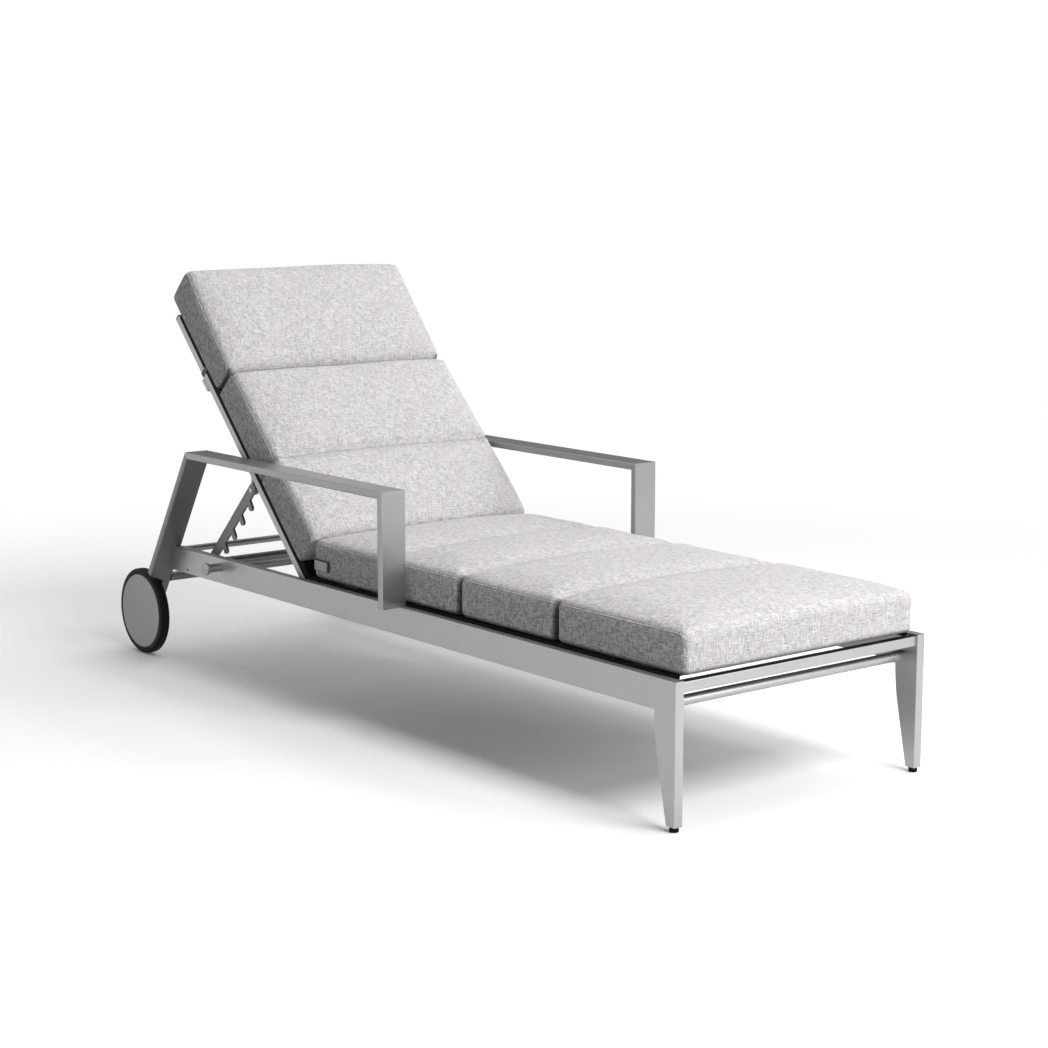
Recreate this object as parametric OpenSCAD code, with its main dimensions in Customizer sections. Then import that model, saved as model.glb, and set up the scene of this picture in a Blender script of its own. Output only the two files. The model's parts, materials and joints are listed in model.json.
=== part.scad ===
// Reclining sun lounger on two wheels, with a ratchet back and channelled pads.
// Stations along the lounger (names ending in _y) are measured from the foot end,
// heights (names ending in _z) from the floor. from_foot() moves them to the origin,
// which lies on the floor at the middle of the lounger. The foot faces -Y.

/* [Frame] */
// Width over the two side rails
frame_w = 660; // [600:5:720]
// Width of a side rail
rail_w = 20; // [16:1:25]
// Height of a side rail
rail_h = 60; // [50:1:70]
// Height of the rails' top above the floor
rail_top_z = 280; // [270:1:290]
// Wall of the tubes
wall = 2; // [1.5:0.1:3]
// Depth of the front leg where it meets the rail
leg_top_d = 56; // [45:1:65]
// Depth of the front leg at its foot
leg_foot_d = 22; // [20:1:30]
// Height of a leg glide
glide_h = 10; // [6:1:14]

/* [Arms] */
// Height of the armrest's top
arm_top_z = 527; // [500:1:550]
// Width of the flat bar of the arms
arm_w = 62; // [50:1:70]
// Thickness of the flat bar of the arms
arm_t = 16; // [12:1:20]
// How far the arm stands out past the rail
arm_overhang = 48; // [40:1:54]
// Front face of the front arm post
arm_front_y = 847; // [820:1:870]
// Rear top corner of the arm
arm_rear_y = 1651; // [1640:1:1660]
// Rake of the rear leg from upright, in degrees
leg_rake = 32; // [30:0.5:34]

/* [Wheels] */
// Radius of the tyre
wheel_r = 105; // [95:1:110]
// Width of the wheel
wheel_w = 26; // [24:1:30]
// Station of the wheel axle
axle_y = 1912; // [1905:1:1918]
// Radius of the wheel axle
axle_r = 6; // [5:0.5:7]

/* [Deck] */
// Number of slats under the seat
slat_count = 8; // [5:1:8]
// Pitch of the slats
slat_pitch = 142.5; // [130:0.5:145]
// Width of a slat
slat_w = 38; // [30:1:42]
// Depth of a slat
slat_h = 13; // [10:1:14]

/* [Back frame] */
// Angle of the back above level, in degrees
recline = 46.1; // [42:0.1:49]
// Station of the back hinge
hinge_y = 1270; // [1266:0.5:1274]
// Height of the back hinge
hinge_z = 250.5; // [248:0.5:253]
// Length of a back tube above the hinge
back_len = 799; // [780:1:810]
// Width over the back tubes
back_w = 580; // [570:1:584]

/* [Ratchet] */
// Angle of the comb below level, in degrees
comb_slope = 45; // [42:0.5:50]
// Pitch of the comb's fingers
finger_pitch = 55; // [53:0.5:56]
// Number of fingers on a comb
finger_count = 5; // [4:1:5]
// Thickness of a comb plate
comb_t = 6; // [4:0.5:6]

/* [Pads] */
// Width of the pads
pad_w = 606; // [590:1:608]
// Height of the seat pad's side seam above its underside
seat_seam_h = 84; // [75:1:90]
// Crown of the seat pad above its side seam
seat_crown = 22; // [10:1:26]
// Thickness of the back pad at its side seam
back_seam_h = 92; // [85:1:98]
// Crown of the back pad above its side seam
back_crown = 22; // [10:1:26]

/* [Hidden] */

$fn = 48;
gap = 0.3;                // room between pieces of different bodies
fit = 0.05;               // radial room of a running pin
through = 200;            // length of a cutter that passes right through
right = -1;               // the sitter's right side is at -X
left = 1;

silver = "#b9babc";
dark_grey = "#3c3d40";
black = "#1b1b1c";
linen = "#cfcbc8";
steel = "#9a9ca0";

half_w = frame_w / 2;
inner_x = half_w - rail_w;
rail_z = rail_top_z - rail_h;
overall_len = axle_y + wheel_r;

arm_outer_x = half_w + arm_overhang;
arm_inner_x = arm_outer_x - arm_w;
bar_r = 3.5;              // edge radius of the arms' flat bar
tube_r = 2;               // edge radius of the square tubes

// station of the rear leg's rear face and front face at a height
function leg_rear_y(z) = arm_rear_y + (arm_top_z - z) * tan(leg_rake);
function leg_front_y(z) = leg_rear_y(z) - arm_t / cos(leg_rake);
function leg_mid_y(z) = (leg_rear_y(z) + leg_front_y(z)) / 2;

wheel_inner_x = half_w + 9;
boss_outer_x = wheel_inner_x - 2;
boss_r = 13;
rim_r = 91;
hub_r = 16;
hub_w = 13;
cap_t = 3;

handle_r = 10;
handle_y = 44.5;
handle_z = 230.5;
socket_r = handle_r + 1.5;
socket_len = 18;
socket_wall = 2;          // closed end of a handle socket

crossbar = 20;            // side of the square foot crossbar
crossbar_y = 4;
crossbar_z = 257;

rest_tube_r = 8;
rest_tube_y = 1778;
rest_tube_z = rail_top_z - rest_tube_r;
rear_tube_r = 11;
rear_tube_z = 195;

last_slat_y = 1215;
slat_z = 262;
ledge_w = 14;
ledge_t = 3;
ledge_start_y = last_slat_y - (slat_count - 1) * slat_pitch - 45;
ledge_end_y = 1238;
sling_t = 1.6;            // thickness of the black slings
hem_w = 14;               // thick hems along the seat sling's sides
screw_r = 4.5;
screw_y = 1735;           // screw near the rail's rear end
screw_z = 229;

back_x = back_w / 2;      // outer face of the back tubes
tube_w = 20;              // back tube across the lounger
tube_d = 18;              // back tube through the back
tube_tail = 14;           // back tube below the hinge
strip_d = 20;             // depth of the black sling rail
strip_stop = 8;           // how far it ends below the tube's top
pin_r = 5;
hinge_bush_r = 7;
flat_bar_u = 586;         // station up the back of the flat cross bar
flat_bar_w = 34;
flat_bar_t = 10;

comb_u = 302;             // comb pivot, up the back from the hinge
comb_v = -31;             // and behind the tubes' centre line
comb_w = 24;
comb_head = 6;             // the bar runs on past its pivot
comb_len = 285;
comb_x = back_x - comb_t;
first_finger = 28;
finger_w = 15;
finger_lean = 12;         // degrees towards the comb's free end
finger_tip = 27;          // centre of a finger's round tip from the bar's centre line
catch_r = 7;
catch_tip_x = back_x + 2.5;
comb_screw_r = 4;
lug_t = 6;
lug_x = comb_x - 0.5 - lug_t;
cross_tube_r = 11;

lock_y = 1584;
lock_z = 258;
lock_pin_r = 5;
lock_shank_r = 10;
lock_head_r = 14.5;
lock_head_t = 8;
lock_out = 40;            // how far the knob stands out from the rail
flat_angle = 4.5;         // the back lies on its rest tube at this angle

pad_x = pad_w / 2;
seat_low_r = 14;          // lower edges of the seat pads
back_low_r = 26;          // rear edges of the back pads
pad_edge_r = 14;          // rounding of a pad's side walls
seat_pad_z = 284;
seat_y = [5, 375, 682, 945, 1219];
back_pad_v = tube_d / 2 + strip_d + 1;
back_pad_u = [48, 280, 541, 840];
head_lean = 22;           // how much thicker the head pad is at its top
head_slim = 8;            // and how much thinner at its lower end
seam_gap = 1.5;           // half the gap between neighbouring pads

comb_angle = -comb_slope - recline;
comb_dir = [cos(comb_slope), -sin(comb_slope)];
comb_foot = [-sin(comb_slope), -cos(comb_slope)];
comb_pivot = [
    hinge_y + comb_u * cos(recline) - comb_v * sin(recline),
    hinge_z + comb_u * sin(recline) + comb_v * cos(recline)
];
catch_s = first_finger + (finger_count - 1) * finger_pitch + finger_w / 2 + catch_r + 3;
catch_at = comb_pivot + catch_s * comb_dir + (comb_w / 2 + catch_r + gap) * comb_foot;

// point on a quadratic curve from a to c with the control point b
function curve_point(a, b, c, t) = (1 - t) * (1 - t) * a + 2 * t * (1 - t) * b + t * t * c;

// ---- placing ----

module from_foot() {
    translate([0, -overall_len / 2, 0]) children();
}

// Y runs up the back from the hinge and Z points to the sitter
module on_back() {
    from_foot() translate([0, hinge_y, hinge_z]) rotate([recline, 0, 0]) children();
}

// Y runs down the comb from its pivot and -Z points to its fingers
module on_prop() {
    on_back() translate([0, comb_u, comb_v]) rotate([comb_angle, 0, 0]) children();
}

// children are drawn for the +X side and mirrored for the right side
module on_side(side) {
    mirror([side == right ? 1 : 0, 0, 0]) children();
}

module both_sides() {
    for (side = [right, left]) on_side(side) children();
}

// cylinder along +X from x0 to x1
module rod_x(x0, x1, r) {
    translate([x0, 0, 0]) rotate([0, 90, 0]) cylinder(r = r, h = x1 - x0);
}

module ring_x(x0, x1, r_out, r_in) {
    difference() {
        rod_x(x0, x1, r_out);
        rod_x(x0 - 1, x1 + 1, r_in);
    }
}

// ---- sections ----

module rounded_rect(w, h, r) {
    union() {
        translate([-w / 2 + r, -h / 2]) square([w - 2 * r, h]);
        translate([-w / 2, -h / 2 + r]) square([w, h - 2 * r]);
        for (sx = [-1, 1], sy = [-1, 1])
            translate([sx * (w / 2 - r), sy * (h / 2 - r)]) circle(r = r, $fn = 24);
    }
}

module box_section(w, h, r) {
    difference() {
        rounded_rect(w, h, r);
        square([w - 2 * wall, h - 2 * wall], center = true);
    }
}

// a tube along +Y whose section is w across and h deep, starting at y = 0
module box_tube_y(w, h, len, r = tube_r) {
    rotate([90, 0, 0]) mirror([0, 0, 1]) linear_extrude(len) box_section(w, h, r);
}

// the arms' flat bar along +Y with its top face at z = 0
module flat_bar_y(len) {
    translate([0, 0, -arm_t / 2]) rotate([90, 0, 0]) mirror([0, 0, 1])
        linear_extrude(len) rounded_rect(arm_w, arm_t, bar_r);
}

// ---- rails, legs and arms ----

module side_rail(side) {
    color(silver) from_foot() on_side(side) difference() {
        translate([half_w - rail_w / 2, leg_top_d, rail_top_z - rail_h / 2])
            box_tube_y(rail_w, rail_h, leg_front_y(rail_z) - leg_top_d);
        // the rear end is cut back along the rear leg
        translate([0, leg_front_y(rail_top_z), rail_top_z]) rotate([leg_rake, 0, 0])
            translate([0, 0, -through]) cube([through * 2, through, 2 * through]);
        translate([0, lock_y, lock_z]) {
            rod_x(half_w - wall - 1, half_w + 1, lock_shank_r + fit);
            rod_x(inner_x - 1, inner_x + wall + 1, lock_pin_r + 3);
        }
        translate([0, screw_y, screw_z]) rod_x(half_w - wall - 1, half_w + 1, 3);
    }
}

module front_leg(side) {
    knee = [leg_top_d, rail_z - 2];
    waist = [leg_top_d - 1.5, rail_z - 45];
    ankle = [leg_foot_d + 0.82 * (leg_top_d - leg_foot_d), rail_z - 75];
    color(silver) from_foot() on_side(side)
        translate([inner_x, 0, 0]) rotate([90, 0, 90]) linear_extrude(rail_w)
            polygon(concat(
                [[0, glide_h], [leg_foot_d, glide_h]],
                [for (i = [0:8]) curve_point(ankle, waist, knee, i / 8)],
                [[leg_top_d, rail_top_z], [0, rail_top_z]]
            ));
}

module leg_glides() {
    color(black) from_foot() both_sides()
        translate([half_w - rail_w / 2, leg_foot_d / 2, 0]) rotate_extrude()
            polygon([[0, 0], [7, 0], [8.4, 0.5], [9, 1.8], [9, glide_h], [0, glide_h]]);
}

module foot_crossbar() {
    color(silver) from_foot()
        translate([inner_x, crossbar_y + crossbar / 2, crossbar_z + crossbar / 2])
            rotate([0, 0, 90]) box_tube_y(crossbar, crossbar, 2 * inner_x);
}

module foot_handle() {
    color(silver) from_foot() translate([0, handle_y, handle_z])
        ring_x(socket_wall - inner_x, inner_x - socket_wall, handle_r, handle_r - wall);
}

module handle_sockets() {
    color(silver) from_foot() translate([0, handle_y, handle_z]) both_sides()
        translate([inner_x - socket_len, 0, 0]) rotate([0, 90, 0]) rotate_extrude() polygon([
            [handle_r, 0], [socket_r - 0.8, 0], [socket_r, 0.8], [socket_r, socket_len],
            [0, socket_len], [0, socket_len - socket_wall], [handle_r, socket_len - socket_wall]
        ]);
}

module armrest(side) {
    mid_x = (arm_outer_x + arm_inner_x) / 2;
    mitre = (90 - leg_rake) / 2;
    color(silver) from_foot() on_side(side) difference() {
        translate([mid_x, arm_front_y, arm_top_z]) flat_bar_y(arm_rear_y - arm_front_y);
        translate([0, arm_front_y, arm_top_z]) rotate([45, 0, 0])
            translate([0, -through, -through]) cube([2 * arm_outer_x, through, 2 * through]);
        translate([0, arm_rear_y, arm_top_z]) rotate([-mitre, 0, 0])
            translate([0, 0, -through]) cube([2 * arm_outer_x, through, 2 * through]);
    }
}

module arm_post(side) {
    mid_x = (arm_outer_x + arm_inner_x) / 2;
    color(silver) from_foot() on_side(side) difference() {
        translate([mid_x, arm_front_y, rail_top_z]) rotate([90, 0, 0])
            flat_bar_y(arm_top_z - rail_top_z);
        translate([0, arm_front_y, arm_top_z]) rotate([45, 0, 0])
            translate([0, 0, -through]) cube([2 * arm_outer_x, through, 2 * through]);
    }
}

// the leg narrows on its outer side to clear the wheel, and ends in a round boss for the axle
module rear_leg(side) {
    mid_x = (arm_outer_x + arm_inner_x) / 2;
    mitre = (90 - leg_rake) / 2;
    run = (arm_top_z - wheel_r) / cos(leg_rake);
    waist_top = run - (wheel_r + 24);
    waist_end = run - (wheel_r + 4);
    color(silver) from_foot() on_side(side) difference() {
        union() {
            intersection() {
                translate([mid_x, arm_rear_y, arm_top_z]) rotate([leg_rake - 90, 0, 0])
                    flat_bar_y(run + 2);
                translate([0, arm_rear_y, arm_top_z]) rotate([leg_rake - 90, 0, 0])
                    translate([0, 0, -arm_t - 1]) linear_extrude(arm_t + 2) polygon([
                        [arm_inner_x, 0], [arm_outer_x, 0], [arm_outer_x, waist_top],
                        [boss_outer_x, waist_end], [boss_outer_x, run + 2], [arm_inner_x, run + 2]
                    ]);
            }
            translate([0, axle_y, wheel_r]) rod_x(arm_inner_x, boss_outer_x, boss_r);
        }
        translate([0, arm_rear_y, arm_top_z]) rotate([-mitre, 0, 0])
            translate([0, -through, -through]) cube([2 * arm_outer_x, through, 2 * through]);
        translate([0, axle_y, wheel_r]) rod_x(arm_inner_x - 1, boss_outer_x + 1, axle_r + fit);
    }
}

module back_rest_tube() {
    color(silver) from_foot() translate([0, rest_tube_y, rest_tube_z])
        ring_x(-inner_x, inner_x, rest_tube_r, rest_tube_r - wall);
}

module rear_cross_tube() {
    color(silver) from_foot() translate([0, leg_mid_y(rear_tube_z), rear_tube_z])
        ring_x(-arm_inner_x, arm_inner_x, rear_tube_r, rear_tube_r - wall);
}

// countersunk screws that hold the rear leg's inner bracket to the rail
module frame_screws() {
    color(steel) from_foot() both_sides() translate([half_w, screw_y, screw_z])
        rotate([0, -90, 0]) difference() {
            union() {
                cylinder(r = 3 - fit, h = wall + 3);
                translate([0, 0, wall]) cylinder(r = 4.5, h = 3);
            }
            translate([0, 0, -1]) cylinder(r = 1.5, h = 2, $fn = 6);
        }
}

// ---- deck ----

module slat_ledges() {
    color(silver) from_foot() both_sides()
        translate([inner_x - ledge_w, ledge_start_y, slat_z - ledge_t])
            cube([ledge_w, ledge_end_y - ledge_start_y, ledge_t]);
}

module deck_slats() {
    color(silver) from_foot() for (i = [0:slat_count - 1])
        translate([0, last_slat_y - i * slat_pitch, slat_z]) difference() {
            translate([-inner_x, 0, slat_h / 2]) rotate([0, 90, 0])
                linear_extrude(2 * inner_x) rounded_rect(slat_h, slat_w, 3);
            translate([-inner_x + 30, -slat_w / 2 + 3, -1])
                cube([2 * inner_x - 60, slat_w - 6, slat_h - 2]);
        }
}

// screws that hold the slats from below the ledges
module slat_screws() {
    color(steel) from_foot() both_sides() for (i = [0:slat_count - 1])
        translate([inner_x - ledge_w / 2, last_slat_y - i * slat_pitch, slat_z - ledge_t])
            mirror([0, 0, 1]) rotate_extrude() polygon([
                [1.6, 0], [screw_r, 0], [screw_r - 0.4, 1.4], [screw_r - 1.6, 2.4], [1.6, 2.8]
            ]);
}

// a black sling under the pads, between two thick hems that lie on the slats' ends
module seat_sling() {
    side_gap = 1;
    under_pads = 0.5;
    scoop = 40;
    top_z = seat_pad_z - under_pads;
    hem_x = inner_x - side_gap - hem_w;
    start_y = crossbar_y + crossbar + side_gap;
    span = ledge_end_y - side_gap - start_y;
    scoop_r = (hem_x * hem_x + scoop * scoop) / (2 * scoop);
    color(dark_grey) from_foot() union() {
        both_sides() translate([hem_x, start_y, slat_z + slat_h])
            cube([hem_w, span, top_z - slat_z - slat_h]);
        difference() {
            translate([-hem_x - 1, start_y, top_z - sling_t]) cube([2 * hem_x + 2, span, sling_t]);
            translate([0, start_y + scoop - scoop_r, top_z - sling_t - 1])
                cylinder(r = scoop_r, h = sling_t + 2, $fn = 240);
        }
    }
}

// ---- wheels ----

module at_axle() {
    from_foot() translate([0, axle_y, wheel_r]) children();
}

module wheel_axles() {
    color(steel) at_axle() both_sides() rod_x(arm_inner_x - 4, wheel_inner_x + hub_w + 5, axle_r);
}

module axle_nuts() {
    color(steel) at_axle() both_sides() translate([wheel_inner_x + hub_w + 0.4, 0, 0])
        rotate([0, 90, 0]) difference() {
            cylinder(r = 10, h = 4, $fn = 6);
            translate([0, 0, -1]) cylinder(r = axle_r, h = 6);
        }
}

// profile across the wheel: x is the radius, y runs outwards from the inner face
module wheel_part(side) {
    at_axle() on_side(side) translate([wheel_inner_x, 0, 0]) rotate([0, 90, 0])
        rotate_extrude($fn = 96) children();
}

module wheel_tyre(side) {
    shoulder = 6;
    color(black) wheel_part(side) union() {
        translate([rim_r, 1]) square([wheel_r - rim_r - shoulder, wheel_w - 2]);
        translate([rim_r, 1 + shoulder]) square([wheel_r - rim_r, wheel_w - 2 - 2 * shoulder]);
        for (y = [1 + shoulder, wheel_w - 1 - shoulder])
            translate([wheel_r - shoulder, y]) circle(r = shoulder, $fn = 32);
    }
}

module wheel_rim(side) {
    color(dark_grey) wheel_part(side) polygon([
        [axle_r + fit, 0], [hub_r, 0], [hub_r + 1, 6], [rim_r - 9, 8], [rim_r - 5, 2],
        [rim_r, 2], [rim_r, wheel_w - cap_t], [rim_r - 4, wheel_w - cap_t],
        [rim_r - 6, 13], [hub_r + 2, 10.5], [hub_r, hub_w], [axle_r + fit, hub_w]
    ]);
}

module wheel_cap(side) {
    dish = 3.5;
    color(silver) wheel_part(side) polygon([
        [0, wheel_w - dish - cap_t / 2], [30, wheel_w - dish - cap_t / 2],
        [rim_r - 12, wheel_w - cap_t], [rim_r - 0.5, wheel_w - cap_t],
        [rim_r - 0.5, wheel_w - 1.2], [rim_r - 1.7, wheel_w], [rim_r - 6, wheel_w],
        [rim_r - 12, wheel_w - 1], [30, wheel_w - dish], [0, wheel_w - dish]
    ]);
}

// ---- hinge, catches and transport locks ----

module hinge_pins() {
    color(steel) from_foot() translate([0, hinge_y, hinge_z]) both_sides() union() {
        rod_x(inner_x - 3, inner_x, 13);
        rod_x(back_x - tube_w - 10, inner_x - 2, pin_r);
    }
}

module hinge_spacers() {
    color(black) from_foot() translate([0, hinge_y, hinge_z]) both_sides()
        ring_x(back_x + 0.5, inner_x - 3, 11, pin_r);
}

module hinge_nuts() {
    color(steel) from_foot() translate([0, hinge_y, hinge_z]) both_sides()
        translate([back_x - tube_w - 7, 0, 0]) rotate([0, 90, 0]) difference() {
            cylinder(r = 9, h = 6, $fn = 6);
            translate([0, 0, -1]) cylinder(r = pin_r, h = 8);
        }
}

module hinge_bushes() {
    color(black) on_back() both_sides()
        ring_x(back_x - tube_w - 0.4, back_x + 0.2, hinge_bush_r, pin_r + fit);
}

module catch_pins() {
    color(steel) from_foot() translate([0, catch_at[0], catch_at[1]]) both_sides() union() {
        rod_x(inner_x - 3, inner_x, 12);
        rod_x(catch_tip_x + 1, inner_x - 2, catch_r);
        rod_x(catch_tip_x, catch_tip_x + 1.5, catch_r - 1);
    }
}

module lock_bushes() {
    color(black) from_foot() translate([0, lock_y, lock_z]) both_sides() {
        difference() {
            union() {
                rod_x(inner_x - 2.5, inner_x, lock_pin_r + 5);
                rod_x(inner_x - 1, inner_x + wall + 1, lock_pin_r + 3);
            }
            rod_x(inner_x - 4, inner_x + wall + 2, lock_pin_r + fit);
        }
    }
}

// a mushroom knob on a shank; its pin slides through the rail
module lock_knob(side) {
    head_x = half_w + lock_out;
    color(silver) from_foot() translate([0, lock_y, lock_z]) on_side(side) union() {
        rod_x(catch_tip_x, half_w, lock_pin_r);
        rod_x(half_w - wall, head_x - lock_head_t + 1, lock_shank_r);
        translate([head_x - lock_head_t, 0, 0]) rotate([0, 90, 0]) rotate_extrude() polygon([
            [0, 0], [lock_head_r - 1, 0], [lock_head_r, 1], [lock_head_r, lock_head_t - 2],
            [lock_head_r - 0.6, lock_head_t - 0.6], [lock_head_r - 2, lock_head_t], [0, lock_head_t]
        ]);
    }
}

// ---- back frame ----

module back_tube(side) {
    color(silver) on_back() on_side(side) difference() {
        translate([back_x - tube_w / 2, -tube_tail, 0])
            box_tube_y(tube_w, tube_d, back_len + tube_tail);
        rod_x(back_x - tube_w - 1, back_x + 1, hinge_bush_r + fit);
    }
}

module back_tube_plugs() {
    plug = 3;
    color(black) on_back() both_sides() for (y = [-tube_tail - plug, back_len])
        translate([back_x - tube_w / 2, y, 0]) rotate([90, 0, 0]) mirror([0, 0, 1])
            linear_extrude(plug) rounded_rect(tube_w, tube_d, tube_r);
}

module back_cross(u, v, r) {
    on_back() translate([0, u, v]) ring_x(tube_w - back_x, back_x - tube_w, r, r - wall);
}

module back_top_tube() {
    color(silver) back_cross(back_len - 30, 0, 8);
}

module back_mid_tube() {
    color(silver) back_cross(comb_u, 0, 8);
}

// the wide bar lies behind the tubes and its ends show at their rear faces
module back_flat_bar() {
    color(silver) on_back()
        translate([-back_x, flat_bar_u + flat_bar_w / 2, -(tube_d + flat_bar_t) / 2])
            rotate([90, 0, 90]) linear_extrude(back_w)
                rounded_rect(flat_bar_w, flat_bar_t, 2);
}

module back_foot_bar() {
    color(black) on_back() translate([tube_w - back_x, 24, -tube_d / 2 + 4])
        cube([back_w - 2 * tube_w, 26, tube_d - 6]);
}

// black extrusions on the front of the tubes grip the sling's edges
module sling_rails() {
    slot = 2.6;
    color(black) on_back() both_sides() difference() {
        translate([back_x - tube_w, 6, tube_d / 2]) cube([tube_w, back_len - strip_stop - 6, strip_d]);
        translate([back_x - tube_w - 1, 5, tube_d / 2 + strip_d / 2 - slot / 2])
            cube([9, back_len, slot]);
    }
}

module back_sling() {
    reach = back_x - tube_w + 7;
    color(dark_grey) on_back()
        translate([-reach, 12, tube_d / 2 + strip_d / 2 - sling_t / 2])
            cube([2 * reach, back_len - 24, sling_t]);
}

// plates behind the tubes that carry the comb pivot and the transport lock's hole
module comb_lugs() {
    lock_u = (lock_y - hinge_y) * cos(flat_angle) + (lock_z - hinge_z) * sin(flat_angle);
    lock_v = (lock_z - hinge_z) * cos(flat_angle) - (lock_y - hinge_y) * sin(flat_angle);
    color(silver) on_back() both_sides() translate([lug_x, 0, 0]) rotate([90, 0, 90])
        difference() {
            linear_extrude(lug_t) union() {
                translate([comb_u, comb_v]) circle(r = 12);
                translate([lock_u, lock_v]) circle(r = 11);
                polygon([
                    [comb_u - 20, -tube_d / 2], [comb_u - 11, comb_v - 5], [comb_u, comb_v - 12],
                    [comb_u + 6, comb_v - 10], [lock_u + 9, lock_v - 6], [lock_u + 22, -tube_d / 2]
                ]);
            }
            translate([lock_u, lock_v, -1]) cylinder(r = lock_pin_r + 1, h = lug_t + 2);
            translate([comb_u, comb_v, -1]) cylinder(r = comb_screw_r, h = lug_t + 2);
            translate([comb_u, -tube_d / 2, -1]) cube([2 * comb_w, tube_d, lug_t + 2]);
        }
}

// bands that hold the pads, hooked round the outside of the tubes
module pad_straps() {
    strap_t = 1.5;
    strap_w = 12;
    strap_u = 628;
    front_t = 0.8;
    deep = tube_d + strip_d;
    color(dark_grey) on_back() both_sides() translate([back_x - tube_w, strap_u, -tube_d / 2])
        rotate([90, 0, 0]) linear_extrude(strap_w, center = true) difference() {
            translate([0, -strap_t]) square([tube_w + strap_t, deep + strap_t + front_t]);
            translate([-1, 0]) square([tube_w + 1, deep]);
        }
}

// ---- ratchet combs ----

module comb_outline() {
    union() {
        translate([-comb_head, -comb_w / 2]) square([comb_len + comb_head, comb_w]);
        translate([-comb_head, 0]) circle(r = comb_w / 2);
        translate([comb_len, 0]) circle(r = comb_w / 2);
        for (i = [0:finger_count - 1]) translate([first_finger + i * finger_pitch, 0])
            rotate([0, 0, finger_lean]) {
                translate([-finger_w / 2, -finger_tip]) square([finger_w, finger_tip]);
                translate([0, -finger_tip]) circle(r = finger_w / 2, $fn = 32);
            }
    }
}

module ratchet_comb(side) {
    color(silver) on_prop() on_side(side) translate([comb_x, 0, 0]) rotate([90, 0, 90])
        difference() {
            linear_extrude(comb_t) comb_outline();
            translate([0, 0, -1]) cylinder(r = comb_screw_r + fit, h = comb_t + 2);
        }
}

module comb_cross_tube() {
    color(silver) on_prop() translate([0, comb_len, 0])
        ring_x(-comb_x, comb_x, cross_tube_r, cross_tube_r - wall);
}

module comb_screws() {
    color(steel) on_back() both_sides() translate([0, comb_u, comb_v]) union() {
        rod_x(lug_x - 1, back_x + 0.2, comb_screw_r);
        rod_x(back_x + 0.2, back_x + 1.8, comb_screw_r + 1.5);
        rod_x(lug_x - 5, lug_x, comb_screw_r + 3);
    }
}

// ---- pads ----

// corner of a pad's outline: a quarter turn from the angle a0
function pad_corner(y, z, r, a0) =
    [for (i = [0:4]) [y + r * cos(a0 + 22.5 * i), z + r * sin(a0 + 22.5 * i)]];

// a pad's outline at the station x, drawn in by inset at its rounded sides;
// radii are those of the lower edges and of the first and last upper edges
function pad_outline(x, inset, y0, y1, seam_h, crown, radii, lean) =
    let (
        a = y0 + inset,
        b = y1 - inset,
        top = seam_h - inset,
        low = radii[0],
        first = radii[1],
        last = radii[2],
        rise = crown * (1 - pow(abs(x) / pad_x, 3))
    )
    concat(
        pad_corner(a + low, inset + low, low, 180),
        pad_corner(b - low, inset + low, low, 270),
        pad_corner(b - last, top + lean - last, last, 0),
        [for (t = [0.8, 0.6, 0.4, 0.2]) [
            a + first + t * (b - last - a - first),
            top + t * lean + rise * (1 - pow(2 * t - 1, 4))
        ]],
        pad_corner(a + first, top - first, first, 90)
    );

// a pad piece from y0 to y1 with its underside at z = 0 and its side seam at seam_h,
// which climbs by lean towards y1
module pad_piece(y0, y1, seam_h, crown, radii, lean = 0) {
    edge = [for (i = [0:4]) [pad_edge_r * (1 - cos(22.5 * i)), pad_edge_r * (1 - sin(22.5 * i))]];
    stations = concat(
        [for (e = edge) [e[0] - pad_x, e[1]]],
        [for (k = [-0.7, -0.35, 0, 0.35, 0.7]) [k * pad_x, 0]],
        [for (i = [4:-1:0]) [pad_x - edge[i][0], edge[i][1]]]
    );
    outlines = [for (s = stations) pad_outline(s[0], s[1], y0, y1, seam_h, crown, radii, lean)];
    n = len(outlines[0]);
    last = len(stations) - 1;
    polyhedron(
        points = [for (i = [0:last]) for (p = outlines[i]) [stations[i][0], p[0], p[1]]],
        faces = concat(
            [[for (j = [0:n - 1]) j], [for (j = [n - 1:-1:0]) last * n + j]],
            [for (i = [0:last - 1]) for (j = [0:n - 1]) [i * n + j, i * n + n + j, i * n + (j + 1) % n]],
            [for (i = [0:last - 1]) for (j = [0:n - 1])
                [i * n + n + j, i * n + n + (j + 1) % n, i * n + (j + 1) % n]]
        )
    );
}

module seat_pad(i, r_first, r_last) {
    color(linen) from_foot() translate([0, 0, seat_pad_z])
        pad_piece(seat_y[i] + (i > 0 ? seam_gap : 0), seat_y[i + 1] - (i < 3 ? seam_gap : 0),
            seat_seam_h, seat_crown, [seat_low_r, r_first, r_last]);
}

module back_pad(i, r_first, r_last, seam_h = back_seam_h, lean = 0) {
    color(linen) on_back() translate([0, 0, back_pad_v])
        pad_piece(back_pad_u[i] + (i > 0 ? seam_gap : 0), back_pad_u[i + 1] - (i < 2 ? seam_gap : 0),
            seam_h, back_crown, [back_low_r, r_first, r_last], lean);
}

module fabric_tag() {
    color(dark_grey) from_foot() translate([-pad_x - 1.2, 1150, 305]) cube([1, 60, 25]);
}

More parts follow.
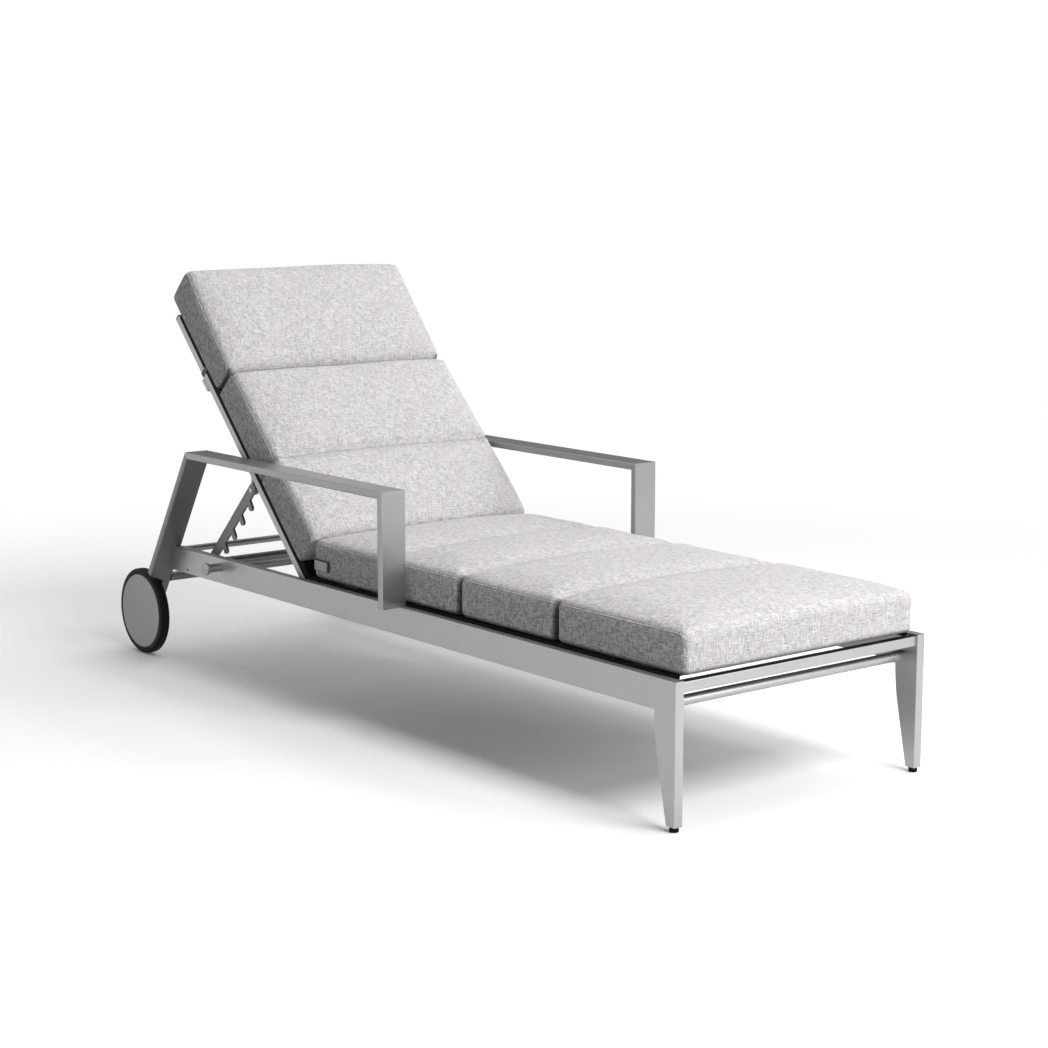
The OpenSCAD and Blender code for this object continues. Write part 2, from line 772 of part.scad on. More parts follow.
side_rail(right);  // side_rail_right
side_rail(left);  // side_rail_left
front_leg(right);  // front_leg_right
front_leg(left);  // front_leg_left
leg_glides();
foot_crossbar();
foot_handle();
handle_sockets();
slat_ledges();
deck_slats();
slat_screws();
seat_sling();
armrest(right);  // armrest_right
armrest(left);  // armrest_left
arm_post(right);  // arm_post_right
arm_post(left);  // arm_post_left
rear_leg(right);  // rear_leg_right
rear_leg(left);  // rear_leg_left
back_rest_tube();
rear_cross_tube();
frame_screws();
wheel_axles();
axle_nuts();
hinge_pins();
hinge_spacers();
hinge_nuts();
catch_pins();
lock_bushes();
seat_pad(0, 26, 16);  // seat_pad_foot
seat_pad(1, 16, 16);  // seat_pad_calf
seat_pad(2, 16, 16);  // seat_pad_thigh
seat_pad(3, 16, 12);  // seat_pad_hip
fabric_tag();
back_tube(right);  // back_tube_right
back_tube(left);  // back_tube_left
back_tube_plugs();
hinge_bushes();
back_top_tube();
back_flat_bar();
back_mid_tube();
back_foot_bar();
sling_rails();
back_sling();
comb_lugs();
pad_straps();
back_pad(2, 30, 26, back_seam_h - head_slim, head_lean);  // back_pad_head
back_pad(1, 14, 30);  // back_pad_middle
back_pad(0, 30, 14);  // back_pad_lower
ratchet_comb(right);  // ratchet_comb_right
ratchet_comb(left);  // ratchet_comb_left
comb_cross_tube();
comb_screws();
wheel_tyre(right);  // wheel_tyre_right
wheel_rim(right);  // wheel_rim_right
wheel_cap(right);  // wheel_cap_right
wheel_tyre(left);  // wheel_tyre_left
wheel_rim(left);  // wheel_rim_left
wheel_cap(left);  // wheel_cap_left
lock_knob(right);  // lock_knob_right
lock_knob(left);  // lock_knob_left
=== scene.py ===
"""Dresses the reclining sun lounger: its cloth, sling, metal, wheels, stage and camera.

Lengths are metres in the part's own frame: the foot end faces -Y and +X is the sitter's left.
"""

import json
import logging
import math
from dataclasses import dataclass, field
from enum import Enum
from typing import Any, Dict, List, Optional, Sequence, Tuple, Union

import bpy
import numpy as np
from mathutils import Matrix, Vector

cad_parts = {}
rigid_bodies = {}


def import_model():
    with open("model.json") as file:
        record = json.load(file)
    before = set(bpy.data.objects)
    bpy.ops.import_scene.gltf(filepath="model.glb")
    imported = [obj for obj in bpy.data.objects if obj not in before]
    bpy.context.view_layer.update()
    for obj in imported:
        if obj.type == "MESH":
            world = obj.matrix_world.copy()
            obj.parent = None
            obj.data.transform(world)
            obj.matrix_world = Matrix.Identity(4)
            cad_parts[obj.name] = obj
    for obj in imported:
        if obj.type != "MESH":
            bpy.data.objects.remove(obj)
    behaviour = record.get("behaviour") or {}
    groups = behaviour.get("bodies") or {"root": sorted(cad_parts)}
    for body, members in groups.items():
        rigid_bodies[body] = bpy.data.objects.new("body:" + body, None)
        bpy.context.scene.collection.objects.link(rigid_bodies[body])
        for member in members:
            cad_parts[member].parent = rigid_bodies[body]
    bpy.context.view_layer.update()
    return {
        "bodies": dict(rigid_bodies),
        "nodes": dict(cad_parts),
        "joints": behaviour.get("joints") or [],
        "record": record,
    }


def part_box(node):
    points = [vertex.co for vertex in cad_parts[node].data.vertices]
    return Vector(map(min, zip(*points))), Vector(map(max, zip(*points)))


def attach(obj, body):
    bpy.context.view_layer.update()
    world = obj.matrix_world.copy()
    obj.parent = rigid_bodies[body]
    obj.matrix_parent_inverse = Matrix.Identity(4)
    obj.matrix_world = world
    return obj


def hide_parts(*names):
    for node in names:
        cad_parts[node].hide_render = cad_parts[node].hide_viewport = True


LOG = logging.getLogger("lounger")

Number = Union["Sock", float]
Pair = Tuple[float, float]
Colour = Tuple[float, float, float]
Triple = Tuple[float, float, float]
Grid = np.ndarray
Nodes = Dict[str, bpy.types.Object]

WHITE: Colour = (1.0, 1.0, 1.0)
SILVER: Colour = (0.46, 0.46, 0.462)
BLACK: Colour = (0.010, 0.010, 0.011)

# How far the back leans over the floor at rest.
BACK_LEAN = math.radians(46.1)
# The range of a random wave's phase.
PHASE: Pair = (0.0, 6.28)


class Side(Enum):
    """The sitter's two sides, by the sign of X."""

    RIGHT = -1
    LEFT = 1

    def of(self, part: str) -> str:
        """The name of this side's node of a part."""
        return f"{part}_{self.name.lower()}"


class Ray(Enum):
    """The kinds of ray that see the white surround."""

    CAMERA = "Is Camera Ray"
    GLOSSY = "Is Glossy Ray"
    TRANSMISSION = "Is Transmission Ray"


def shaded(colour: Colour, times: float, plus: float = 0.0) -> Colour:
    """A colour made darker or paler."""
    return tuple(min(1.0, c * times + plus) for c in colour)


# ---- shader maths ----


@dataclass(frozen=True)
class Sock:
    """A node's output that takes part in Python expressions."""

    bench: "Bench"
    socket: bpy.types.NodeSocket

    def _join(self, operation: str, other: Number, swapped: bool = False) -> "Sock":
        """Adds the Math node that joins this socket and another value.

        Args:
            operation: The Math node's operation.
            other: The other value.
            swapped: Whether the other value comes first.

        Returns:
            The Math node's output.
        """
        pair = (other, self) if swapped else (self, other)
        return self.bench.node("ShaderNodeMath", {"operation": operation}, {0: pair[0], 1: pair[1]})

    def __add__(self, other: Number) -> "Sock":
        """Sum."""
        return self._join("ADD", other)

    def __radd__(self, other: Number) -> "Sock":
        """Reflected sum."""
        return self._join("ADD", other, True)

    def __sub__(self, other: Number) -> "Sock":
        """Difference."""
        return self._join("SUBTRACT", other)

    def __rsub__(self, other: Number) -> "Sock":
        """Reflected difference."""
        return self._join("SUBTRACT", other, True)

    def __mul__(self, other: Number) -> "Sock":
        """Product."""
        return self._join("MULTIPLY", other)

    def __rmul__(self, other: Number) -> "Sock":
        """Reflected product."""
        return self._join("MULTIPLY", other, True)

    def __gt__(self, other: Number) -> "Sock":
        """One where this value is the greater, zero elsewhere."""
        return self._join("GREATER_THAN", other)

    def __lt__(self, other: Number) -> "Sock":
        """One where this value is the smaller, zero elsewhere."""
        return self._join("LESS_THAN", other)

    def apply(self, operation: str) -> "Sock":
        """Adds a Math node of one input, such as SINE, ABSOLUTE, FLOOR or FRACT."""
        return self.bench.node("ShaderNodeMath", {"operation": operation}, {0: self})

    def least(self, other: Number) -> "Sock":
        """The smaller of two values."""
        return self._join("MINIMUM", other)

    def most(self, other: Number) -> "Sock":
        """The greater of two values."""
        return self._join("MAXIMUM", other)

    def ease(self, low: float, high: float) -> "Sock":
        """A smooth step from 0 at low to 1 at high."""
        inputs = {0: self, 1: low, 2: high, 3: 0.0, 4: 1.0}
        return self.bench.node("ShaderNodeMapRange", {"interpolation_type": "SMOOTHSTEP"}, inputs)

    def hump(self) -> "Sock":
        """A rounded ridge to every unit, from 0 at its ends to 1 at its middle."""
        return (self.apply("FRACT") * math.pi).apply("SINE")

    def off_middle(self) -> "Sock":
        """The distance from the middle of every unit."""
        return (self.apply("FRACT") - 0.5).apply("ABSOLUTE")


class Bench:
    """One material or world under construction."""

    def __init__(self, name: str, world: bool = False) -> None:
        """Starts an empty material with its shader on it, or an empty world.

        Args:
            name: The name of what is made.
            world: Whether it is a world.
        """
        self.material = (bpy.data.worlds if world else bpy.data.materials).new(name)
        self.material.use_nodes = True
        self.tree = self.material.node_tree
        self.tree.nodes.clear()
        self.end = self.tree.nodes.new("ShaderNodeOutputWorld" if world else "ShaderNodeOutputMaterial")
        if not world:
            self.shader = self.tree.nodes.new("ShaderNodeBsdfPrincipled")
            self.finish(Sock(self, self.shader.outputs[0]))

    def finish(self, shader: Sock) -> None:
        """Ends the tree in a shader."""
        self.feed(self.end.inputs[0], shader)

    def node(
        self,
        kind: str,
        settings: Optional[Dict[str, Any]] = None,
        inputs: Optional[Dict[Union[int, str], Any]] = None,
        output: Union[int, str] = 0,
    ) -> Sock:
        """Adds a node of any type.

        Args:
            kind: The node's type.
            settings: Its properties, set first; "stops" fills a colour ramp.
            inputs: Values or links of its sockets, by name or number.
            output: The output that is wanted.

        Returns:
            That output.
        """
        node = self.tree.nodes.new(kind)
        for key, value in (settings or {}).items():
            if key == "stops":
                stops = node.color_ramp.elements
                while len(stops) < len(value):
                    stops.new(0.5)
                for stop, (place, colour) in zip(stops, value):
                    stop.position, stop.color = place, (*colour, 1.0)
            else:
                setattr(node, key, value)
        for key, value in (inputs or {}).items():
            self.feed(node.inputs[key], value)
        return Sock(self, node.outputs[output])

    def feed(self, socket: bpy.types.NodeSocket, value: Any) -> None:
        """Links a socket, or sets its value.

        Args:
            socket: The input to feed.
            value: A Sock, a number or a tuple.
        """
        if isinstance(value, Sock):
            self.tree.links.new(value.socket, socket)
        elif isinstance(value, tuple) and len(value) == 3 and socket.type == "RGBA":
            socket.default_value = (*value, 1.0)
        else:
            socket.default_value = value

    def dress(self, **sockets: Any) -> None:
        """Feeds the shader's own sockets, named with underscores for spaces."""
        for key, value in sockets.items():
            self.feed(self.shader.inputs[key.replace("_", " ")], value)

    def tint(self, share: Number, first: Any, second: Any, blend: str = "MIX") -> Sock:
        """Mixes two colours.

        Args:
            share: How much of the second.
            first: A colour or its socket.
            second: A colour or its socket.
            blend: The Mix node's blend type.

        Returns:
            The mixed colour.
        """
        settings = {"data_type": "RGBA", "blend_type": blend, "clamp_factor": True}
        return self.node("ShaderNodeMix", settings, {0: share, 6: first, 7: second}, 2)

    def place(self) -> Sock:
        """The part's own coordinates, in metres."""
        return self.node("ShaderNodeTexCoord", None, None, "Object")

    def split(self, vector: Sock) -> Tuple[Sock, Sock, Sock]:
        """Takes a vector apart.

        Args:
            vector: The vector.

        Returns:
            Its three numbers.
        """
        node = self.tree.nodes.new("ShaderNodeSeparateXYZ")
        self.feed(node.inputs[0], vector)
        return Sock(self, node.outputs[0]), Sock(self, node.outputs[1]), Sock(self, node.outputs[2])

    def vector(self, x: Number, y: Number, z: Number = 0.0) -> Sock:
        """A vector of three numbers."""
        return self.node("ShaderNodeCombineXYZ", None, {0: x, 1: y, 2: z})

    def noise(self, at: Sock, scale: float, detail: float = 2.0, rough: float = 0.5) -> Sock:
        """Noise around 0.5 at a position."""
        inputs = {"Vector": at, "Scale": scale, "Detail": detail, "Roughness": rough}
        return self.node("ShaderNodeTexNoise", None, inputs)

    def flat_noise(self, x: Number, y: Number, detail: float = 0.0) -> Sock:
        """Noise around 0.5 over two numbers, one cell to a unit."""
        inputs = {"Vector": self.vector(x, y), "Scale": 1.0, "Detail": detail}
        return self.node("ShaderNodeTexNoise", {"noise_dimensions": "2D"}, inputs)

    def bump(self, height: Sock, distance: float, strength: float = 1.0) -> Sock:
        """Turns a height into a normal.

        Args:
            height: The height, as a share of the distance.
            distance: What a height of one means, in metres.
            strength: The share of the effect.

        Returns:
            The normal.
        """
        inputs = {"Height": height, "Distance": distance, "Strength": strength}
        return self.node("ShaderNodeBump", None, inputs)

    def laid_flat(self, name: str) -> Tuple[Sock, Sock]:
        """The two numbers of a UV map."""
        first, second, _ = self.split(self.node("ShaderNodeUVMap", {"uv_map": name}))
        return first, second

    def checks(self, across: Sock, along: Sock) -> Sock:
        """One on every other square of a board, with one square to a unit."""
        return ((across.apply("FLOOR") + along.apply("FLOOR")) * 0.5).apply("FRACT") > 0.25

    def facing(self, way: Sock, towards: Triple) -> Sock:
        """How far a direction agrees with another, from -1 to 1."""
        inputs = {0: way, 1: towards}
        return self.node("ShaderNodeVectorMath", {"operation": "DOT_PRODUCT"}, inputs, "Value")

    def ray(self, kind: Ray) -> Sock:
        """One for a ray of a kind, zero for any other."""
        return self.node("ShaderNodeLightPath", None, None, kind.value)


# ---- finishes ----


@dataclass(frozen=True)
class SlubCloth:
    """Coarse linen-look cloth: slub yarns cross in both directions over a plain grey ground.

    Attributes:
        name: The material's name.
        pitch: From one yarn to the next.
        slub: How long a thick place in a yarn runs.
        thread: How wide the thick places are.
        lone: From one single pale or dark thread to the next.
        tones: How much the thick places and the single threads tell.
        shares: How much the stronger yarn, both yarns together and the yarn on top tell.
        ground: How much darker the cloth lies under its yarns.
        wander: How far the yarns stray, in pitches, and how often.
        pale: The palest yarn.
        plain: The ground.
        dark: The darkest yarn.
        rose: The tint of its warmer patches.
        fold: The painted shade within a fold, along the underside and where cushions meet.
        ditch: The painted shade along a row of stitches.
        seam_rows: The two rows of stitches, by their distance from the side seam.
        stitch: From one stitch to the next.
        gains: The contrast of the wrapped strip, and the stronger contrast of the side panels, which
            paints the shading that grazing light gives their relief.
        relief: What a height of one means.
    """

    name: str = "slub_cloth"
    pitch: float = 0.0021
    slub: float = 0.024
    thread: float = 0.0028
    lone: float = 0.0020
    tones: Pair = (0.7, 0.52)
    shares: Triple = (0.75, 0.22, 0.15)
    ground: float = 0.075
    wander: Pair = (1.6, 9.0)
    pale: Colour = (0.78, 0.77, 0.762)
    plain: Colour = (0.60, 0.59, 0.583)
    dark: Colour = (0.43, 0.423, 0.419)
    rose: Colour = (0.66, 0.60, 0.59)
    fold: Colour = (0.05, 0.05, 0.051)
    ditch: Colour = (0.16, 0.16, 0.162)
    seam_rows: Pair = (0.0014, 0.0066)
    stitch: float = 0.0046
    gains: Pair = (0.74, 2.6)
    relief: float = 0.0005

    def yarns(self, bench: Bench, across: Sock, along: Sock, seed: float) -> Tuple[Sock, Sock]:
        """One direction of yarns.

        Args:
            bench: The material.
            across: Distance across the yarns, in metres.
            along: Distance along them, in metres.
            seed: Keeps the two directions apart.

        Returns:
            The streaks' tone around zero and the yarns' rounded height.
        """
        thick, single = self.tones
        slubs = bench.flat_noise(across * (1 / self.thread) + seed, along * (1 / self.slub))
        number = (across * (1 / self.lone)).apply("FLOOR") * 7.13
        lone = bench.flat_noise(number + seed, along * (1.7 / self.slub)).ease(0.34, 0.66)
        return (slubs - 0.5) * thick + (lone - 0.5) * single, (across * (1 / self.pitch)).hump()

    def seam(self, off: Sock, run: Sock) -> Tuple[Sock, Sock, Sock]:
        """The rows of stitches beside the side seam.

        Args:
            off: Distance from the seam's edge, in metres.
            run: Distance along it, in metres.

        Returns:
            The rows' ditch, for relief and painted shade, the stitches' dashes, and the ridge between
            the rows, for relief and a painted highlight.
        """
        inner, outer = self.seam_rows
        nearest = (off - inner).apply("ABSOLUTE").least((off - outer).apply("ABSOLUTE"))
        dash = (run * (1 / self.stitch)).off_middle() < 0.34
        ridge_and_highlight = 1 - (off - (inner + outer) / 2).apply("ABSOLUTE").ease(0.0003, 0.0021)
        return 1 - nearest.ease(0.0002, 0.0012), dash, ridge_and_highlight

    def make(self) -> bpy.types.Material:
        """Builds the material.

        Returns:
            The material.
        """
        b = Bench(self.name)
        s, t = b.laid_flat("cloth")
        off, run = b.laid_flat("seam")
        # deep: how strongly the painted shade darkens each point, read from its own map.
        deep, _ = b.laid_flat("fold")
        stray = (b.noise(b.place(), self.wander[1], 1.0) - 0.5) * (self.wander[0] * self.pitch)
        warp_tone, warp_up = self.yarns(b, s + stray, t, 3.7)
        weft_tone, weft_up = self.yarns(b, t + stray, s, 91.3)
        over = b.checks((s + stray) * (1 / self.pitch), (t + stray) * (1 / self.pitch))
        stronger, both, upper = self.shares
        tone = warp_tone.most(weft_tone) * stronger + (warp_tone + weft_tone) * both - self.ground
        tone = tone + (warp_tone - weft_tone) * (over - 0.5) * upper
        # Painted shade: the side panels' tone contrast is raised to stand in for grazing light on their
        # relief.
        grazing_gain = (off > 0.00005) * (self.gains[1] - self.gains[0]) + self.gains[0]
        stops = [(0.10, self.dark), (0.5, self.plain), (0.90, self.pale)]
        colour = b.node("ShaderNodeValToRGB", {"stops": stops}, {0: tone * grazing_gain + 0.5})
        blush = b.flat_noise(s * 60.0 + 8.0, t * 12.0, 1.0).ease(0.54, 0.72)
        ditch, dash, ridge_and_highlight = self.seam(off, run)
        colour = b.tint(blush * 0.35, colour, self.rose)
        # Painted shade in the stitch rows' ditch, less on the stitches themselves, and a painted
        # highlight on the ridge between the rows.
        colour = b.tint(ditch * (1 - dash * 0.6) * 0.75, colour, self.ditch)
        colour = b.tint(ridge_and_highlight * 0.6, colour, self.pale)
        # Painted shade in the side grooves, along the channels' seams, under the cushion and where
        # cushions meet.
        colour = b.tint(deep, colour, self.fold)
        woven = (warp_up + weft_up) * 0.25 + (warp_up - weft_up) * (over - 0.5) * 0.5
        height = woven * 0.55 + (warp_tone.most(weft_tone) + tone) * 2.2
        height = height - ditch * 3.0 + ditch * dash * 0.6 + ridge_and_highlight * 2.0
        b.dress(
            Base_Color=colour,
            Roughness=0.88 + tone * 0.15,
            Normal=b.bump(height, self.relief),
            Sheen_Weight=0.10,
            Sheen_Roughness=0.5,
            Specular_IOR_Level=0.22,
        )
        return b.material


@dataclass(frozen=True)
class CoatedMetal:
    """Satin powder coat with fine flake over a metal section.

    Attributes:
        name: The material's name.
        colour: Its colour.
        metallic: How metallic the flake makes it.
        rough: Its roughness.
        peel: The height of its orange peel.
        strip: Whether its upward faces are painted with black shade and lose their metal.
        black: The colour of that painted shade.
    """

    name: str
    colour: Colour
    metallic: float = 0.55
    rough: float = 0.40
    peel: float = 0.00006
    strip: bool = False
    black: Colour = (0.008, 0.008, 0.0085)

    def make(self) -> bpy.types.Material:
        """Builds the material.

        Returns:
            The material.
        """
        b = Bench(self.name)
        at = b.place()
        flake = b.noise(at, 2600.0, 0.0)
        peel = b.noise(at, 650.0, 2.0)
        haze = b.noise(at, 9.0, 3.0)
        dust = b.noise(at, 60.0, 4.0, 0.6).ease(0.52, 0.75)
        shade = flake.ease(0.35, 0.7) * 0.35 + haze.ease(0.3, 0.7) * 0.2
        colour = b.tint(shade, shaded(self.colour, 0.90), shaded(self.colour, 1.07))
        metallic: Number = self.metallic
        # Painted shade: upward faces turn black and lose their metal.
        if self.strip:
            top = b.split(b.node("ShaderNodeTexCoord", None, None, "Normal"))[2] > 0.8
            colour, metallic = b.tint(top, colour, self.black), self.metallic * (1 - top)
        b.dress(
            Base_Color=colour,
            Metallic=metallic,
            Roughness=self.rough + dust * 0.06 + (haze - 0.5) * 0.08,
            Normal=b.bump(peel + flake * 0.3, self.peel, 0.5),
            Specular_IOR_Level=0.5,
        )
        return b.material


@dataclass(frozen=True)
class TurnedMetal:
    """Bare metal with fine lathe lines around X.

    Attributes:
        name: The material's name.
        colour: Its colour.
        rough: Its roughness.
        lines: How fine the lathe lines are.
    """

    name: str
    colour: Colour
    rough: float = 0.28
    lines: float = 2600.0

    def make(self) -> bpy.types.Material:
        """Builds the material.

        Returns:
            The material.
        """
        b = Bench(self.name)
        x, y, z = b.split(b.place())
        rings = b.vector(x * self.lines, y * 40.0, z * 40.0)
        grain = b.node("ShaderNodeTexNoise", None, {"Vector": rings, "Scale": 1.0, "Detail": 1.0})
        smudge = b.noise(b.place(), 80.0, 3.0)
        b.dress(
            Base_Color=b.tint(smudge.ease(0.35, 0.7) * 0.5, self.colour, shaded(self.colour, 0.8)),
            Metallic=1.0,
            Roughness=self.rough + (grain - 0.5) * 0.18 + smudge * 0.08,
            Normal=b.bump(grain, 0.00004, 0.4),
        )
        return b.material


@dataclass(frozen=True)
class Moulding:
    """Moulded plastic or rubber with a spark-eroded grain.

    Attributes:
        name: The material's name.
        colour: Its colour.
        rough: Its roughness.
        grain: How fine the grain is.
        depth: How deep it is.
        shine: The shader's specular level.
    """

    name: str
    colour: Colour
    rough: float = 0.5
    grain: float = 900.0
    depth: float = 0.00006
    shine: float = 0.5

    def make(self) -> bpy.types.Material:
        """Builds the material.

        Returns:
            The material.
        """
        b = Bench(self.name)
        at = b.place()
        grit = b.noise(at, self.grain, 2.0)
        scuff = b.noise(at, 45.0, 4.0, 0.62).ease(0.5, 0.78)
        b.dress(
            Base_Color=b.tint(scuff * 0.55, self.colour, shaded(self.colour, 1.25, 0.012)),
            Roughness=self.rough + scuff * 0.12 + (grit - 0.5) * 0.1,
            Normal=b.bump(grit, self.depth, 0.7),
            Specular_IOR_Level=self.shine,
        )
        return b.material


@dataclass(frozen=True)
class MeshCloth:
    """Open woven sling mesh of coated threads.

    Attributes:
        name: The material's name.
        pitch: From one thread to the next.
        thread: Half a thread's width, as a share of the pitch.
        colour: The threads' colour.
        worn: Their colour where they are worn.
    """

    name: str = "sling_mesh"
    pitch: float = 0.0016
    thread: float = 0.40
    colour: Colour = BLACK
    worn: Colour = (0.022, 0.022, 0.024)

    def make(self) -> bpy.types.Material:
        """Builds the material.

        Returns:
            The material.
        """
        b = Bench(self.name)
        s, t = b.laid_flat("cloth")
        u, v = s * (1 / self.pitch), t * (1 / self.pitch)
        warp, weft = u.off_middle(), v.off_middle()
        over = b.checks(u, v)
        solid = (warp < self.thread).most(weft < self.thread)
        up = (0.5 - warp) * over + (0.5 - weft) * (1 - over)
        worn = b.noise(b.place(), 30.0, 3.0).ease(0.45, 0.7)
        b.dress(
            Base_Color=b.tint(worn * 0.5, self.colour, self.worn),
            Roughness=0.7 + worn * 0.1,
            Specular_IOR_Level=0.12,
            Alpha=solid,
            Normal=b.bump(up, 0.0006, 0.8),
        )
        return b.material


@dataclass(frozen=True)
class Webbing:
    """Woven tape of fine slanting ribs.

    Attributes:
        name: The material's name.
        colour: Its colour.
        rib: From one rib to the next.
        shine: The shader's specular level.
    """

    name: str
    colour: Colour
    rib: float = 0.0011
    shine: float = 0.4

    def make(self) -> bpy.types.Material:
        """Builds the material.

        Returns:
            The material.
        """
        b = Bench(self.name)
        s, t = b.laid_flat("cloth")
        across, along = s * (1 / self.rib), t * (1 / self.rib)
        side = (across * 0.25).apply("FRACT") > 0.5
        rib = (across + along).hump() * side + (across - along).hump() * (1 - side)
        fuzz = b.noise(b.place(), 700.0, 2.0)
        b.dress(
            Base_Color=b.tint(rib * 0.7 + fuzz * 0.3, shaded(self.colour, 0.6), self.colour),
            Roughness=0.8 + (fuzz - 0.5) * 0.1,
            Normal=b.bump(rib + fuzz * 0.3, 0.0003, 0.8),
            Specular_IOR_Level=self.shine,
        )
        return b.material


@dataclass(frozen=True)
class TagWeave:
    """Fine woven label cloth: a pale blank field inside a black border.

    Attributes:
        name: The material's name.
        field: The field's colour.
        border: The border's colour.
        margin: How wide the border is.
        folded: How far the black runs in from the folded end.
        wide: The tag's width.
        thread: From one thread to the next.
    """

    name: str = "tag_weave"
    field: Colour = (0.92, 0.915, 0.91)
    border: Colour = (0.012, 0.012, 0.013)
    margin: float = 0.0035
    folded: float = 0.009
    wide: float = 0.025
    thread: float = 0.0006

    def make(self) -> bpy.types.Material:
        """Builds the material.

        Returns:
            The material.
        """
        b = Bench(self.name)
        s, t = b.laid_flat("cloth")
        inside = (self.wide - s).least(s + self.margin * 0.8)
        inside = inside.ease(self.margin - 0.0006, self.margin + 0.0002)
        inside = inside * t.ease(self.folded - 0.0006, self.folded + 0.0004)
        rows, picks = (s * (1 / self.thread)).hump(), (t * (1 / self.thread)).hump()
        fuzz = b.noise(b.place(), 500.0, 2.0)
        shade = rows * 0.3 + picks * 0.3 + fuzz * 0.4
        pale = b.tint(shade, shaded(self.field, 0.7), self.field)
        b.dress(
            Base_Color=b.tint(inside, self.border, pale),
            Roughness=0.72 + (fuzz - 0.5) * 0.2,
            Normal=b.bump(rows + picks + fuzz * 0.5, 0.0002, 0.8),
            Sheen_Weight=0.1,
        )
        return b.material


@dataclass(frozen=True)
class StageFloor:
    """Pale floor that shows white where nothing shades it, and fades to plain white far away.

    Attributes:
        name: The material's name.
        glow: What it adds to its own light where it is seen.
        bounce: The colour that the lounger is lit by.
        fade: Where plain white begins and is full, from the middle.
    """

    name: str = "stage_floor"
    glow: float = 0.05
    bounce: Colour = (0.45, 0.45, 0.45)
    fade: Pair = (1.4, 3.2)

    def make(self) -> bpy.types.Material:
        """Builds the material.

        Returns:
            The material.
        """
        b = Bench(self.name)
        b.dress(Base_Color=self.bounce, Roughness=0.9, Specular_IOR_Level=0.0)
        glow = b.node("ShaderNodeEmission", None, {"Color": WHITE, "Strength": self.glow})
        bright = b.node("ShaderNodeBsdfDiffuse", None, {"Color": WHITE})
        near = b.node("ShaderNodeAddShader", None, {0: bright, 1: glow})
        far = b.node("ShaderNodeEmission", None, {"Color": WHITE, "Strength": 1.0})
        away = b.node("ShaderNodeVectorMath", {"operation": "LENGTH"}, {0: b.place()}, "Value")
        shown = b.node("ShaderNodeMixShader", None, {0: away.ease(*self.fade), 1: near, 2: far})
        plain = Sock(b, b.shader.outputs[0])
        seen = b.ray(Ray.CAMERA).most(b.ray(Ray.GLOSSY))
        b.finish(b.node("ShaderNodeMixShader", None, {0: seen, 1: plain, 2: shown}))
        return b.material


@dataclass
class Wardrobe:
    """Every finish of the lounger, made once, by the record's slot names.

    Attributes:
        finishes: The finishes by slot, and some of single parts.
        made: The materials that have been made.
    """

    finishes: Dict[str, Any] = field(
        default_factory=lambda: {
            "frame_silver": CoatedMetal("silver_coat", SILVER, 0.82, 0.36),
            # A darker copy of the frame coat for the arms and posts: its darker colour is painted shade
            # for the dark things they mirror.
            "arm_silver": CoatedMetal("arm_coat", (0.365, 0.365, 0.366), 0.85, 0.33),
            "pad_fabric": SlubCloth(),
            "tag_fabric": TagWeave(),
            "sling_mesh": MeshCloth(),
            "sling_hem": Webbing("hem_tape", BLACK, 0.0010, 0.08),
            "strap_webbing": Webbing("strap_webbing", (0.34, 0.34, 0.35)),
            "tyre_rubber": Moulding("tyre_rubber", BLACK, 0.5, 500.0, 0.0001, 0.12),
            "wheel_plastic": Moulding("wheel_plastic", (0.03, 0.03, 0.032), 0.45),
            "cap_grey": CoatedMetal("cap_coat", (0.36, 0.36, 0.362), 0.5, 0.36),
            # The foot crossbar's coat, with painted black shade on its upward faces.
            "strip_silver": CoatedMetal("crossbar_coat", SILVER, 0.82, 0.36, strip=True),
            # A darker copy of the frame coat: painted shade for the rear legs, ratchet combs and cross
            # tubes under the lounger.
            "under_silver": CoatedMetal("under_coat", (0.25, 0.25, 0.252), 0.7, 0.42),
            "black_trim": Moulding("black_trim", (0.006, 0.006, 0.0065), 0.6, shine=0.08),
            "bush_nylon": Moulding("bush_nylon", (0.02, 0.02, 0.021), 0.5),
            "steel_hardware": TurnedMetal("steel_hardware", (0.56, 0.56, 0.57)),
            "knob_metal": TurnedMetal("knob_metal", (0.34, 0.34, 0.345), 0.33),
        }
    )
    made: Dict[str, bpy.types.Material] = field(default_factory=dict)

    def get(self, slot: str) -> bpy.types.Material:
        """The material of a slot, made when it is first asked for.

        Args:
            slot: The record's slot, or one of the finishes added here.

        Returns:
            The material.
        """
        if slot not in self.made:
            self.made[slot] = self.finishes[slot].make()
        return self.made[slot]


# ---- placing ----


def vertices(mesh: bpy.types.Mesh) -> Grid:
    """Reads a mesh's vertices.

    Args:
        mesh: The mesh.

    Returns:
        A row to a vertex.
    """
    flat = np.empty(len(mesh.vertices) * 3)
    mesh.vertices.foreach_get("co", flat)
    return flat.reshape(-1, 3)


def write_vertices(mesh: bpy.types.Mesh, points: Grid) -> None:
    """Moves a new mesh's vertices."""
    mesh.vertices.foreach_set("co", points.ravel())


